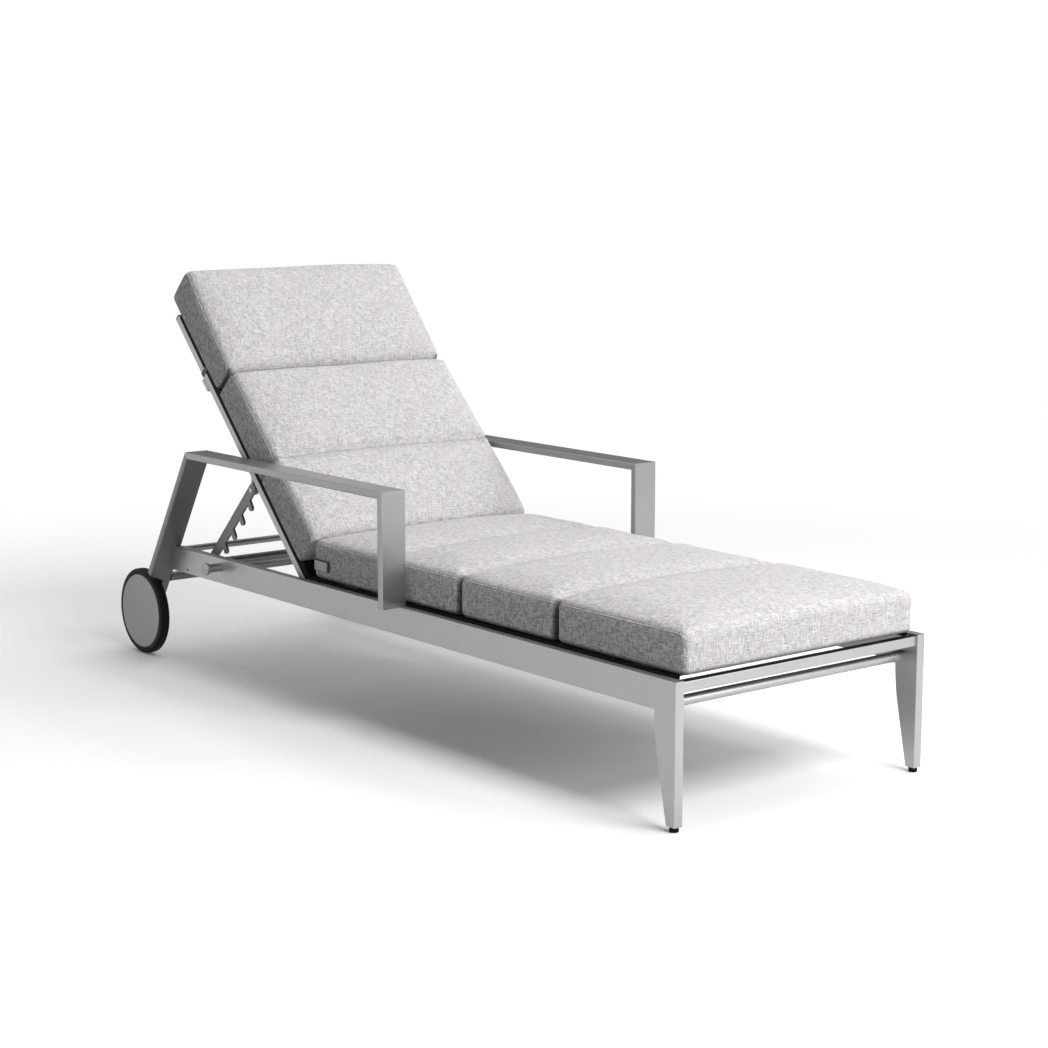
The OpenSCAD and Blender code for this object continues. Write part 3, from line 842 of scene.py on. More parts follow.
@dataclass(frozen=True)
class Placing:
    """A frame turned about X: x across, y along the piece and z through it.

    Attributes:
        origin: Its origin's Y and Z in the part's frame.
        angle: Its turn, in radians.
    """

    origin: Pair
    angle: float = 0.0

    def to_part(self, points: Grid) -> Grid:
        """Takes points from this frame to the part's.

        Args:
            points: Points of this frame.

        Returns:
            The same points in the part's frame.
        """
        c, s = math.cos(self.angle), math.sin(self.angle)
        out = np.array(points, float)
        out[:, 1] = self.origin[0] + points[:, 1] * c - points[:, 2] * s
        out[:, 2] = self.origin[1] + points[:, 1] * s + points[:, 2] * c
        return out

    def from_part(self, points: Grid) -> Grid:
        """Takes points from the part's frame to this one.

        Args:
            points: Points of the part's frame.

        Returns:
            The same points in this frame.
        """
        c, s = math.cos(self.angle), math.sin(self.angle)
        y, z = points[:, 1] - self.origin[0], points[:, 2] - self.origin[1]
        return np.stack([points[:, 0], y * c + z * s, z * c - y * s], 1)

    def box(self, node: bpy.types.Object) -> Tuple[Grid, Grid]:
        """A CAD node's lowest and highest corners in this frame."""
        points = self.from_part(vertices(node.data))
        return points.min(0), points.max(0)


def add_mesh(
    name: str,
    points: Grid,
    faces: Sequence[Sequence[int]],
    material: bpy.types.Material,
    maps: Optional[Dict[str, Grid]] = None,
) -> bpy.types.Object:
    """Adds a smooth mesh object.

    Args:
        name: The piece's name.
        points: Its vertices.
        faces: Vertex numbers of its faces.
        material: Its finish.
        maps: UV maps by name, one row to a face corner.

    Returns:
        The object.
    """
    mesh = bpy.data.meshes.new(name)
    mesh.from_pydata([tuple(p) for p in points], [], [tuple(int(i) for i in f) for f in faces])
    for key, rows in (maps or {}).items():
        layer = mesh.uv_layers.new(name=key, do_init=False)
        layer.data.foreach_set("uv", np.asarray(rows, np.float32).ravel())
    mesh.polygons.foreach_set("use_smooth", [True] * len(mesh.polygons))
    mesh.materials.append(material)
    mesh.update()
    obj = bpy.data.objects.new(name, mesh)
    bpy.context.scene.collection.objects.link(obj)
    return obj


def graded(marks: Sequence[float], fine: float, coarse: float, growth: float) -> Grid:
    """Positions that crowd towards every mark.

    Args:
        marks: Rising positions that are kept.
        fine: The spacing at a mark.
        coarse: The widest spacing.
        growth: How fast the spacing grows with the distance from a mark.

    Returns:
        The positions.
    """
    out = [marks[0]]
    for a, b in zip(marks, marks[1:]):
        steps = [0.0]
        while steps[-1] < (b - a) / 2:
            steps.append(steps[-1] + min(coarse, fine + growth * steps[-1]))
        near = np.array(steps) * ((b - a) / 2) / steps[-1]
        out += list(a + near[1:]) + list(b - near[::-1][1:])
    return np.array(out)


def ease(x: Grid, low: float, high: float) -> Grid:
    """A smooth step from 0 at low to 1 at high."""
    t = np.clip((x - low) / (high - low), 0, 1)
    return t * t * (3 - 2 * t)


def gathers(rng: np.random.Generator, along: Grid, turn: Grid, count: int, rates: Pair) -> Grid:
    """Sums fine waves that run along a seam.

    Args:
        rng: Where the waves' rates and phases come from.
        along: Each point's place along the seam.
        turn: What each point's phase is multiplied by.
        count: How many waves.
        rates: The lowest and highest rate, in radians to a metre.

    Returns:
        The sum at each point.
    """
    out = np.zeros_like(along)
    for _ in range(count):
        rate, phase = rng.uniform(*rates), rng.uniform(*PHASE)
        out += np.sin(along * rate + turn * phase) / count**0.5
    return out


def by_corner(rows: Grid, faces: Sequence[Sequence[int]]) -> Grid:
    """Rows by face corner, from rows by vertex."""
    return rows[np.concatenate(faces)]


def sleeve(number: Grid, inward: bool) -> List[List[int]]:
    """Closes a sleeve of rings, with a cap at both ends.

    Args:
        number: Vertex numbers, by ring and by place around it.
        inward: Whether the loops run the other way.

    Returns:
        The quads, then both caps.
    """
    beside, caps = np.roll(number, -1, axis=1), (number[0, ::-1], number[-1])
    quads = np.stack([number[:-1], beside[:-1], beside[1:], number[1:]], -1).reshape(-1, 4)
    loops = [list(loop) for loop in (*quads, *caps)]
    return [loop[::-1] for loop in loops] if inward else loops


def mirrored(skin: Grid, inward: Side) -> Tuple[Grid, List[List[int]]]:
    """A closed sleeve on each side of the lounger.

    Args:
        skin: Points of the left one, by ring and by place around it.
        inward: The side whose loops run the other way.

    Returns:
        All points, the right side's first, and their faces.
    """
    number = np.arange(skin[..., 0].size).reshape(skin.shape[:2])
    points, faces = [], []
    for side in Side:
        faces += sleeve(number + len(points) * number.size, side is inward)
        points.append(skin.reshape(-1, 3) * (side.value, 1, 1))
    return np.concatenate(points), faces


@dataclass
class BoxGrid:
    """The skin of a box cut by grid lines, as one closed quad mesh.

    Attributes:
        xs: Where it is cut along x.
        ys: Where it is cut along y.
        zs: Where it is cut along z.
        index: Vertex numbers by cut, and -1 within the box.
        raw: The vertices.
    """

    xs: Grid
    ys: Grid
    zs: Grid
    index: Grid = field(init=False)
    raw: Grid = field(init=False)

    def __post_init__(self) -> None:
        """Numbers the skin's vertices."""
        shape = (len(self.xs), len(self.ys), len(self.zs))
        skin = np.zeros(shape, bool)
        for axis in range(3):
            ends = [slice(None)] * 3
            for end in (0, -1):
                ends[axis] = end
                skin[tuple(ends)] = True
        self.index = np.full(shape, -1)
        self.index[skin] = np.arange(skin.sum())
        i, j, k = np.nonzero(skin)
        self.raw = np.stack([self.xs[i], self.ys[j], self.zs[k]], 1)

    def quads(self) -> List[Tuple[str, Grid]]:
        """Lists the box's quads.

        Returns:
            The six faces, each named by its axis and end, with its quads.
        """
        out = []
        for axis, label in enumerate("xyz"):
            for end, sign in ((0, "-"), (-1, "+")):
                sheet = np.take(self.index, end, axis=axis)
                a, b, c, d = sheet[:-1, :-1], sheet[1:, :-1], sheet[1:, 1:], sheet[:-1, 1:]
                loop = np.stack([a, b, c, d], -1).reshape(-1, 4)
                if (sign == "-") != (axis == 1):
                    loop = loop[:, ::-1]
                out.append((label + sign, loop))
        return out


# ---- cushions ----


@dataclass(frozen=True)
class Cover:
    """How a cushion's cover is blown up: its cloth, its pressure and where it is held.

    Attributes:
        cloth: Settings of the cloth.
        frames: How many frames it has to swell.
        cap: The furthest that a point may move.
        loose: The grip on the open face.
        rim: The grip along edges and ends.
        rim_reach: How far that grip reaches in from an edge.
        end_reach: How far it reaches in from an end.
    """

    cloth: Dict[str, Any] = field(
        default_factory=lambda: {
            "quality": 4,
            "mass": 0.2,
            "tension_stiffness": 12,
            "compression_stiffness": 12,
            "shear_stiffness": 4,
            "bending_stiffness": 0.8,
            "use_pressure": True,
            "uniform_pressure_force": 4,
        }
    )
    frames: int = 20
    cap: float = 0.0045
    loose: float = 0.03
    rim: float = 0.6
    rim_reach: float = 0.016
    end_reach: float = 0.030

    def swell(self, obj: bpy.types.Object, grip: Grid) -> float:
        """Blows the cover up by cloth pressure and writes the result to the mesh.

        Args:
            obj: The cushion.
            grip: How firmly each vertex is held.

        Returns:
            The furthest that a point would have moved.
        """
        group = obj.vertex_groups.new(name="held")
        for level in np.unique(np.round(grip, 2)):
            held = np.nonzero(np.round(grip, 2) == level)[0]
            group.add([int(i) for i in held], float(level), "REPLACE")
        cloth = obj.modifiers.new("cover", "CLOTH")
        for key, value in self.cloth.items():
            setattr(cloth.settings, key, value)
        cloth.settings.vertex_group_mass = group.name
        cloth.settings.effector_weights.gravity = 0
        cloth.collision_settings.use_collision = False
        cloth.point_cache.frame_start, cloth.point_cache.frame_end = 1, self.frames
        scene = bpy.context.scene
        start = vertices(obj.data)
        for frame in range(1, self.frames + 1):
            scene.frame_set(frame)
        shown = obj.evaluated_get(bpy.context.evaluated_depsgraph_get())
        move = vertices(shown.data) - start
        obj.modifiers.remove(cloth)
        scene.frame_set(1)
        size = np.maximum(np.linalg.norm(move, axis=1, keepdims=True), 1e-9)
        write_vertices(obj.data, start + move * np.minimum(1, self.cap / size))
        return float(size.max())


@dataclass
class Cushion:
    """A long box cushion: a wrapped strip of cloth with a shaped panel sewn to each side.

    y runs from its first end to its last and z from its underside to its face. Sewn
    channels cross its face, and its sides pull in to a groove at each channel.

    Attributes:
        name: The piece's name.
        body: The body that it rides on.
        nodes: The CAD solids that it stands for, from first to last.
        placing: Its own frame.
        seam_height: Height of the side seam at the first and the last end.
        crown: How far the face swells.
        low_r: Radius along the underside's ends.
        first_r: Radius along the face's first end.
        last_r: Radius along the face's last end.
        channel: Depth of a channel across the face.
        channel_half: Half the width of a channel.
        groove: Radius of the groove down the side at a channel.
        slit: How far the side is drawn in along the seam of a groove.
        slit_half: Half the width of that slit.
        side_r: Radius of the side edges.
        shoulder: How soon the crown rises from the side edges.
        bulge: How far the side of a segment bulges.
        face_from: The share of the height from which the face swells.
        end_run: Where the crown begins and is full, from an end.
        end_crown: The share of the crown at an end.
        sides_from: The share of the half width from which the sides draw in, and their tops dip.
        crease: The shade along a channel's seam.
        fill: How tightly it is filled; not used.
        spare: How far it may swell past its first and its last end.
        side_spare: How far it may swell past its sides.
        unevenness: The height of its puckers.
        waves: How many waves make up the puckers, and the gathers of a side seam and a channel.
        gather: How strongly the cloth gathers along the side seams and along the channels.
        meets_start: Whether another cushion meets its first end.
        meets_end: Whether another cushion meets its last end.
        panel_cut: Where the side panels were cut from the cloth.
        grade_across: Finest and widest spacing of the mesh, and its growth, from side to side.
        grade_along: The same from end to end.
        grade_up: The same from below to the face, as shares of the height.
        cover: How its cover is blown up.
        half: Half its width.
        base: Height of its underside, in its own frame.
        start: Station of its first end.
        end: Station of its last end.
        marks: Stations of both ends and of the channels between.
    """

    name: str
    body: str
    nodes: Tuple[str, ...]
    placing: Placing
    seam_height: Pair
    crown: float
    low_r: float
    first_r: float
    last_r: float
    channel: float = 0.011
    channel_half: float = 0.040
    groove: float = 0.020
    slit: float = 0.014
    slit_half: float = 0.0035
    side_r: float = 0.013
    shoulder: float = 0.022
    bulge: float = 0.003
    face_from: float = 0.45
    end_run: Pair = (-0.01, 0.09)
    end_crown: float = 0.35
    sides_from: Pair = (0.80, 0.88)
    crease: float = 0.10
    fill: float = 0.75
    spare: Pair = (0.0, 0.004)
    side_spare: float = 0.003
    unevenness: float = 0.0010
    waves: Tuple[int, int, int] = (26, 14, 10)
    gather: Pair = (0.256, 0.28)
    meets_start: bool = False
    meets_end: bool = False
    panel_cut: Pair = (0.013, 0.31)
    grade_across: Triple = (0.0022, 0.009, 0.16)
    grade_along: Triple = (0.0016, 0.008, 0.16)
    grade_up: Triple = (0.022, 0.085, 0.18)
    cover: Cover = field(default_factory=Cover)
    half: float = field(init=False)
    base: float = field(init=False)
    start: float = field(init=False)
    end: float = field(init=False)
    marks: List[float] = field(init=False)

    def frame_in(self, nodes: Nodes) -> None:
        """Reads the cushion's place from the CAD solids that it stands for.

        Args:
            nodes: The CAD nodes by name.
        """
        boxes = [self.placing.box(nodes[n]) for n in self.nodes]
        self.half = float(boxes[0][1][0])
        self.base = float(boxes[0][0][2])
        self.start = float(boxes[0][0][1])
        self.end = float(boxes[-1][1][1])
        self.marks = [self.start]
        for (_, high), (low, _) in zip(boxes, boxes[1:]):
            self.marks.append(float(high[1] + low[1]) / 2)
        self.marks.append(self.end)

    def seam_at(self, y: Grid) -> Grid:
        """Height of the side seam at a station."""
        t = (y - self.start) / (self.end - self.start)
        return self.seam_height[0] + t * (self.seam_height[1] - self.seam_height[0])

    def rounded(self, raw: Grid) -> Grid:
        """Rounds the raw box: first its long profile, then its side edges.

        Args:
            raw: Raw points, with z as a share of the seam's height.

        Returns:
            The rounded points.
        """
        height = self.seam_at(raw[:, 1])
        y, z = raw[:, 1], raw[:, 2] * height
        low, first = z < height / 2, y < (self.start + self.end) / 2
        r = np.where(low, self.low_r, np.where(first, self.first_r, self.last_r))
        cy = np.clip(y, self.start + r, self.end - r)
        cz = np.clip(z, r, height - r)
        a, b = (y - cy) / r, (z - cz) / r
        dy, dz = r * a * np.sqrt(1 - b * b / 2), r * b * np.sqrt(1 - a * a / 2)
        reach = np.maximum(np.hypot(dy, dz), 1e-9)
        out_y, out_z = dy / reach, dz / reach
        depth = np.minimum.reduce([y - self.start, self.end - y, z, height - z])
        e = self.side_r
        p = np.clip(e - (self.half - np.abs(raw[:, 0])), 0, e) / e
        q = np.clip(e - depth, 0, e) / e
        x = np.sign(raw[:, 0]) * (
            np.minimum(np.abs(raw[:, 0]), self.half - e) + e * p * np.sqrt(1 - q * q / 2)
        )
        drawn = e * q * (1 - np.sqrt(1 - p * p / 2))
        return np.stack([x, cy + dy - out_y * drawn, cz + dz - out_z * drawn], 1)

    def swelled(self, raw: Grid, points: Grid) -> Grid:
        """Adds the crown, the channels across the face and the grooves down the sides.

        Args:
            raw: The raw box.
            points: The rounded points.

        Returns:
            The cushion's points before its cover is blown up.
        """
        out = points.copy()
        across = np.abs(raw[:, 0]) / self.half
        y = points[:, 1]
        height = self.seam_at(y)
        upper = ease(points[:, 2] / height, self.face_from, 1.0)
        run = np.minimum(y - self.start, self.end - y)
        edge = self.half - np.abs(raw[:, 0])
        dome = 0.5 * (1 - np.exp(-edge / self.shoulder)) + 0.5 * (1 - across * across)
        full = self.end_crown + (1 - self.end_crown) * ease(run, *self.end_run)
        out[:, 2] += upper * self.crown * dome * full
        near_side, side_dip = (ease(across, first, 1.0) for first in self.sides_from)
        r = self.groove
        for mark in self.marks[1:-1]:
            away = np.abs(y - mark)
            valley = self.channel * (1 - ease(away, 0.0, self.channel_half))
            inner = np.clip(r - away, 0, r)
            arc = r - np.sqrt(np.maximum(r * r - inner * inner, 0))
            cut = arc + self.slit * np.exp(-((away / self.slit_half) ** 2))
            out[:, 2] -= upper * (valley * (1 - side_dip) + arc * side_dip)
            out[:, 2] += (1 - ease(points[:, 2] / height, 0.0, 0.4)) * arc * 0.35
            out[:, 0] -= np.sign(points[:, 0]) * near_side * cut
        middle = 1 - np.power(np.clip(np.abs(2 * points[:, 2] / height - 1), 0, 1), 2)
        bulge = self._segment_bulge(y)
        out[:, 0] += np.sign(points[:, 0]) * near_side * middle * bulge * self.bulge
        return out

    def _segment_bulge(self, y: Grid) -> Grid:
        """Tells a segment's middle from its ends.

        Args:
            y: Stations along the cushion.

        Returns:
            One at the middle of each segment and zero at its ends.
        """
        bulge = np.zeros_like(y)
        for a, b in zip(self.marks, self.marks[1:]):
            t = np.clip((y - a) / (b - a), 0, 1)
            bulge = np.maximum(bulge, 1 - np.abs(2 * t - 1) ** 2.5)
        return bulge

    def maps(self, grid: BoxGrid, faces: List[Tuple[str, Grid]]) -> Dict[str, Grid]:
        """Lays the cloth flat: the strip by its width and run, each side panel by itself.

        Args:
            grid: The raw box.
            faces: Its quads by face.

        Returns:
            The maps "cloth", "seam" and "fold", the last of painted shade, a row to a face corner.
        """
        raw = grid.raw
        height = float(np.mean(self.seam_height))
        length = self.end - self.start
        cloth, seam, fold = [], [], []
        y, z = raw[:, 1] - self.start, raw[:, 2] * height
        run_along = {
            "z+": y, "y+": length + height - z, "z-": 2 * length + height - y, "y-": -(height - z),
        }
        # Painted shade, carried to the cloth by its own map.
        shade = self.shade(raw, z, height)
        for label, loop in faces:
            corners = loop.ravel()
            if label[0] == "x":
                side_y, side_z = y[corners], z[corners]
                cloth.append(np.stack([side_z, side_y], 1) + self.panel_cut)
                seam.append(np.stack([np.minimum(side_z, height - side_z), side_y], 1))
            else:
                along = run_along[label][corners]
                cloth.append(np.stack([raw[corners, 0] + self.half, along], 1))
                seam.append(np.stack([np.abs(raw[corners, 0]) - self.half, along], 1))
            fold.append(np.stack([shade[corners], 0 * shade[corners]], 1))
        rows = {"cloth": cloth, "seam": seam, "fold": fold}
        return {key: np.concatenate(value) for key, value in rows.items()}

    def shade(self, raw: Grid, z: Grid, height: float) -> Grid:
        """How strongly painted shade darkens each point, from 0 in the open to 1: in the side grooves,
        along the channels' seams, along the underside and where another cushion meets an end.

        Args:
            raw: The raw box.
            z: Each point's height, in metres.
            height: The seam's height.

        Returns:
            The shares.
        """
        y = raw[:, 1]
        side = ease(np.abs(raw[:, 0]) / self.half, 0.93, 1.0)
        # Painted shade along the underside, then in the grooves, along the channels' seams and at ends
        # that meet.
        deep = 0.6 * (1 - ease(z, -0.002, 0.010))
        share = min(0.95, self.groove * 45)
        for mark in self.marks[1:-1]:
            away = np.abs(y - mark)
            deep = np.maximum(deep, share * side * (1 - ease(away, 0.003, 0.013)))
            line = 0.7 * (1 - ease(away, 0.0005, 0.004)) + 0.3 * (1 - ease(away, 0.0, 0.022))
            deep = np.maximum(deep, self.crease * line)
        for meets, gap in ((self.meets_start, y - self.start), (self.meets_end, self.end - y)):
            if meets:
                hidden = np.maximum(side, ease(height - z, 0.012, 0.030))
                deep = np.maximum(deep, 0.9 * (1 - ease(gap, 0.0, 0.005)) * hidden)
        return deep

    def held(self, raw: Grid) -> Grid:
        """How firmly each point of the cover is held while it is blown up.

        Args:
            raw: The raw box.

        Returns:
            The grips, from 0 to 1.
        """
        cover = self.cover
        edge = self.half - np.abs(raw[:, 0])
        run = np.minimum(raw[:, 1] - self.start, self.end - raw[:, 1])
        grips = [
            np.full(len(raw), cover.loose),
            1 - ease(raw[:, 2], 0.02, 0.25),
            cover.rim * (1 - ease(edge, 0.0, cover.rim_reach)),
            cover.rim * (1 - ease(run, 0.0, cover.end_reach)),
        ]
        for mark in self.marks[1:-1]:
            grips.append(1 - ease(np.abs(raw[:, 1] - mark), 0.004, 0.030))
        return np.maximum.reduce(grips)

    def settle(self, obj: bpy.types.Object, raw: Grid) -> None:
        """Presses the swollen cover back: flat below, and not past a channel's plane.

        Args:
            obj: The cushion, still in its own frame.
            raw: The raw box.
        """
        points = vertices(obj.data)
        points[:, 2] = np.maximum(points[:, 2], 0.0)
        for mark in self.marks[1:-1]:
            before, after = raw[:, 1] < mark - 1e-6, raw[:, 1] > mark + 1e-6
            points[before, 1] = np.minimum(points[before, 1], mark - 0.0002)
            points[after, 1] = np.maximum(points[after, 1], mark + 0.0002)
        first, last = self.start - self.spare[0], self.end + self.spare[1]
        limit = self.half + self.side_spare
        points[:, 1] = np.clip(points[:, 1], first, last)
        points[:, 0] = np.clip(points[:, 0], -limit, limit)
        write_vertices(obj.data, points)

    def pucker(self, obj: bpy.types.Object, raw: Grid, seed: int) -> None:
        """Adds the slight unevenness of hand-filled cloth and the gathers along its seams.

        Args:
            obj: The cushion, still in its own frame.
            raw: The raw box.
            seed: Seeds the waves.
        """
        rng = np.random.default_rng(seed)
        points = vertices(obj.data)
        obj.data.update()
        normals = np.empty(points.size)
        obj.data.vertices.foreach_get("normal", normals)
        lift = np.zeros(len(points))
        broad, at_seam, at_channel = self.waves
        for _ in range(broad):
            wave = rng.normal(0, 1, 3)
            wave *= rng.uniform(10, 34) / np.linalg.norm(wave)
            lift += np.sin(raw @ (wave * (1, 1, 0.1)) + rng.uniform(*PHASE)) / broad**0.5
        x, y, z = raw.T
        seam = (1 - ease(self.half - np.abs(x), 0.004, 0.045)) * ease(z, 0.5, 0.9)
        lift += self.gather[0] * seam * gathers(rng, y, np.sign(x), at_seam, (160, 420))
        for mark in self.marks[1:-1]:
            near = (1 - ease(np.abs(y - mark), 0.006, 0.05)) * ease(z, 0.7, 1.0)
            lift += self.gather[1] * near * gathers(rng, x, np.ones_like(x), at_channel, (90, 260))
        amount = self.unevenness * ease(z, 0.0, 0.3)
        write_vertices(obj.data, points + normals.reshape(-1, 3) * (lift * amount)[:, None])

    def build(self, nodes: Nodes, wardrobe: Wardrobe, seed: int) -> bpy.types.Object:
        """Makes the cushion and hides the CAD solids that it stands for.

        Args:
            nodes: The CAD nodes by name.
            wardrobe: The finishes.
            seed: Seeds its unevenness.

        Returns:
            The cushion.
        """
        self.frame_in(nodes)
        grid = BoxGrid(
            graded([-self.half, self.half], *self.grade_across),
            graded(self.marks, *self.grade_along),
            graded([0.0, 1.0], *self.grade_up),
        )
        raw = grid.raw
        points = self.swelled(raw, self.rounded(raw))
        faces = grid.quads()
        obj = add_mesh(
            self.name,
            points,
            np.concatenate([loop for _, loop in faces]),
            wardrobe.get("pad_fabric"),
            self.maps(grid, faces),
        )
        swell = self.cover.swell(obj, self.held(raw))
        LOG.info("%s swells by up to %.1f mm", self.name, 1000 * swell)
        self.settle(obj, raw)
        self.pucker(obj, raw, seed)
        self.settle(obj, raw)
        local = vertices(obj.data)
        local[:, 2] += self.base
        write_vertices(obj.data, self.placing.to_part(local))
        obj.data.update()
        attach(obj, self.body)
        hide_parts(*self.nodes)
        return obj


# ---- sling, straps and tag ----


def wrap_sheet(top: Grid, under: Grid) -> Tuple[Grid, Grid]:
    """Closes two grids of points into one thin sheet.

    Args:
        top: Points of the upper face, by row and column.
        under: Points of the lower face.

    Returns:
        All points, and the quads with their faces outwards where x rises by row and y by column.
    """
    m, n = top.shape[:2]
    number = np.arange(m * n).reshape(m, n)
    a, b, c, d = number[:-1, :-1], number[1:, :-1], number[1:, 1:], number[:-1, 1:]
    upper = np.stack([a, b, c, d], -1).reshape(-1, 4)
    rim = np.concatenate([number[:, 0], number[-1, 1:], number[-2::-1, -1], number[0, -2:0:-1]])
    ahead = np.roll(rim, -1)
    walls = np.stack([rim, rim + m * n, ahead + m * n, ahead], -1)
    points = np.concatenate([top.reshape(-1, 3), under.reshape(-1, 3)])
    return points, np.concatenate([upper, upper[:, ::-1] + m * n, walls])


@dataclass
class Sling:
    """Mesh sheet stretched between two edge rails, hemmed at both free ends.

    Attributes:
        name: The piece's name.
        body: The body that it rides on.
        node: The CAD solid that it stands for.
        placing: Its own frame.
        rests_on: What carries it; not used.
        level: Its height within the solid, as a share.
        tuck: How much narrower than the solid it is at each side.
        sag: How far its middle sags.
        waists: How far its first and its last edge are scooped.
        scoop: How fast the scoop dies away from an edge.
        hem: Depth of the hems.
        thick: Its thickness.
        doubled: How much thicker a hem is.
        columns: Points from side to side.
        grade: Finest and widest spacing of the mesh along it, and its growth.
    """

    name: str
    body: str
    node: str
    placing: Placing
    rests_on: Tuple[str, ...]
    level: float = 0.5
    tuck: float = 0.0
    sag: float = 0.004
    waists: Pair = (0.007, 0.007)
    scoop: int = 6
    hem: float = 0.022
    thick: float = 0.0011
    doubled: float = 0.8
    columns: int = 57
    grade: Triple = (0.003, 0.014, 0.3)

    def build(
        self,
        nodes: Nodes,
        wardrobe: Wardrobe,
        edging: Sequence[bpy.types.Object] = (),
    ) -> bpy.types.Object:
        """Makes the sling.

        Args:
            nodes: The CAD nodes by name.
            wardrobe: The finishes.
            edging: Pieces sewn to it; not used.

        Returns:
            The sling.
        """
        low, high = self.placing.box(nodes[self.node])
        low, high = low + (self.tuck, 0, 0), high - (self.tuck, 0, 0)
        hems = [low[1], low[1] + self.hem, high[1] - self.hem, high[1]]
        xs, ys = np.linspace(low[0], high[0], self.columns), graded(hems, *self.grade)
        x, y = np.meshgrid(xs, ys, indexing="ij")
        across = 1 - (x / high[0]) ** 2
        t = (y - low[1]) / (high[1] - low[1])
        first, last = self.waists
        pull = across * (first * np.power(1 - t, self.scoop) - last * np.power(t, self.scoop))
        plane = low[2] + self.level * (high[2] - low[2])
        drop = self.sag * across * np.sin(math.pi * np.clip(t, 0, 1))
        in_hem = np.maximum(1 - ease(y, hems[0], hems[1]), ease(y, hems[2], hems[3]))
        sheet = np.stack([x, y + pull, plane - drop], -1)
        half = self.thick / 2 * (1 + self.doubled * (in_hem > 0.02))
        lift = np.stack([0 * half, 0 * half, half], -1)
        points, faces = wrap_sheet(sheet + lift, sheet - lift)
        flat = np.stack([x.ravel(), y.ravel()], 1)
        maps = {"cloth": by_corner(np.concatenate([flat, flat]), faces)}
        cloth = wardrobe.get("sling_mesh")
        obj = add_mesh(self.name, self.placing.to_part(points), faces, cloth, maps)
        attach(obj, self.body)
        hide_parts(self.node)
        float(high[0] - low[0])
        float(high[1] - low[1])
        return obj


@dataclass
class SlingHems:
    """The seat sling's thick sewn edges, which lie along the slats' ends.

    Attributes:
        width: Their width.
        dent: How far the sewing pulls their tops in.
        square: How square their section is, from 1 for an ellipse to 0.
        around: Points around the section.
        end: How far in from an end they narrow, and to what share.
        wave: How uneven their thickness is, and the rates of its two waves.
        grade: Finest and widest spacing of the mesh along them, and its growth.
    """

    width: float = 0.014
    dent: float = 0.0007
    square: float = 0.55
    around: int = 28
    end: Pair = (0.005, 0.72)
    wave: Triple = (0.04, 210.0, 31.0)
    grade: Triple = (0.0015, 0.012, 0.3)

    def build(self, nodes: Nodes, wardrobe: Wardrobe) -> bpy.types.Object:
        """Makes both hems as one piece.

        Args:
            nodes: The CAD nodes by name; not used.
            wardrobe: The finishes.

        Returns:
            The hems.
        """
        low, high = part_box("seat_sling")
        turn = np.linspace(0, 2 * math.pi, self.around + 1)[:-1]
        c, s = np.cos(turn), np.sin(turn)
        ring_x = np.sign(c) * np.abs(c) ** self.square * self.width / 2
        ring_z = np.sign(s) * np.abs(s) ** self.square * (high.z - low.z) / 2
        ys = graded([low.y, high.y], *self.grade)
        reach, least = self.end
        run = np.minimum(ys - low.y, high.y - ys)
        shrink = least + (1 - least) * np.sqrt(np.clip(run / reach, 0, 1))
        rise, fast, slow = self.wave
        swell = 1 + rise * np.sin(ys * fast) * np.sin(ys * slow)
        x, z = np.outer(shrink, ring_x), np.outer(shrink, ring_z)
        sewing = np.exp(-(((x + self.width * 0.18) / 0.0009) ** 2))
        z = (z - np.where(z > 0, self.dent * sewing, 0)) * swell[:, None]
        z = np.clip((low.z + high.z) / 2 + z, low.z, high.z)
        skin = np.stack([high.x - self.width / 2 + x, ys[:, None] + 0 * x, z], -1)
        points, faces = mirrored(skin, Side.LEFT)
        around = np.tile(np.arange(self.around) * 0.0016, len(Side) * len(ys))
        maps = {"cloth": by_corner(np.stack([around, points[:, 1]], 1), faces)}
        obj = add_mesh("seat_sling_hems", points, faces, wardrobe.get("sling_hem"), maps)
        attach(obj, "frame")
        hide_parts("seat_sling")
        return obj


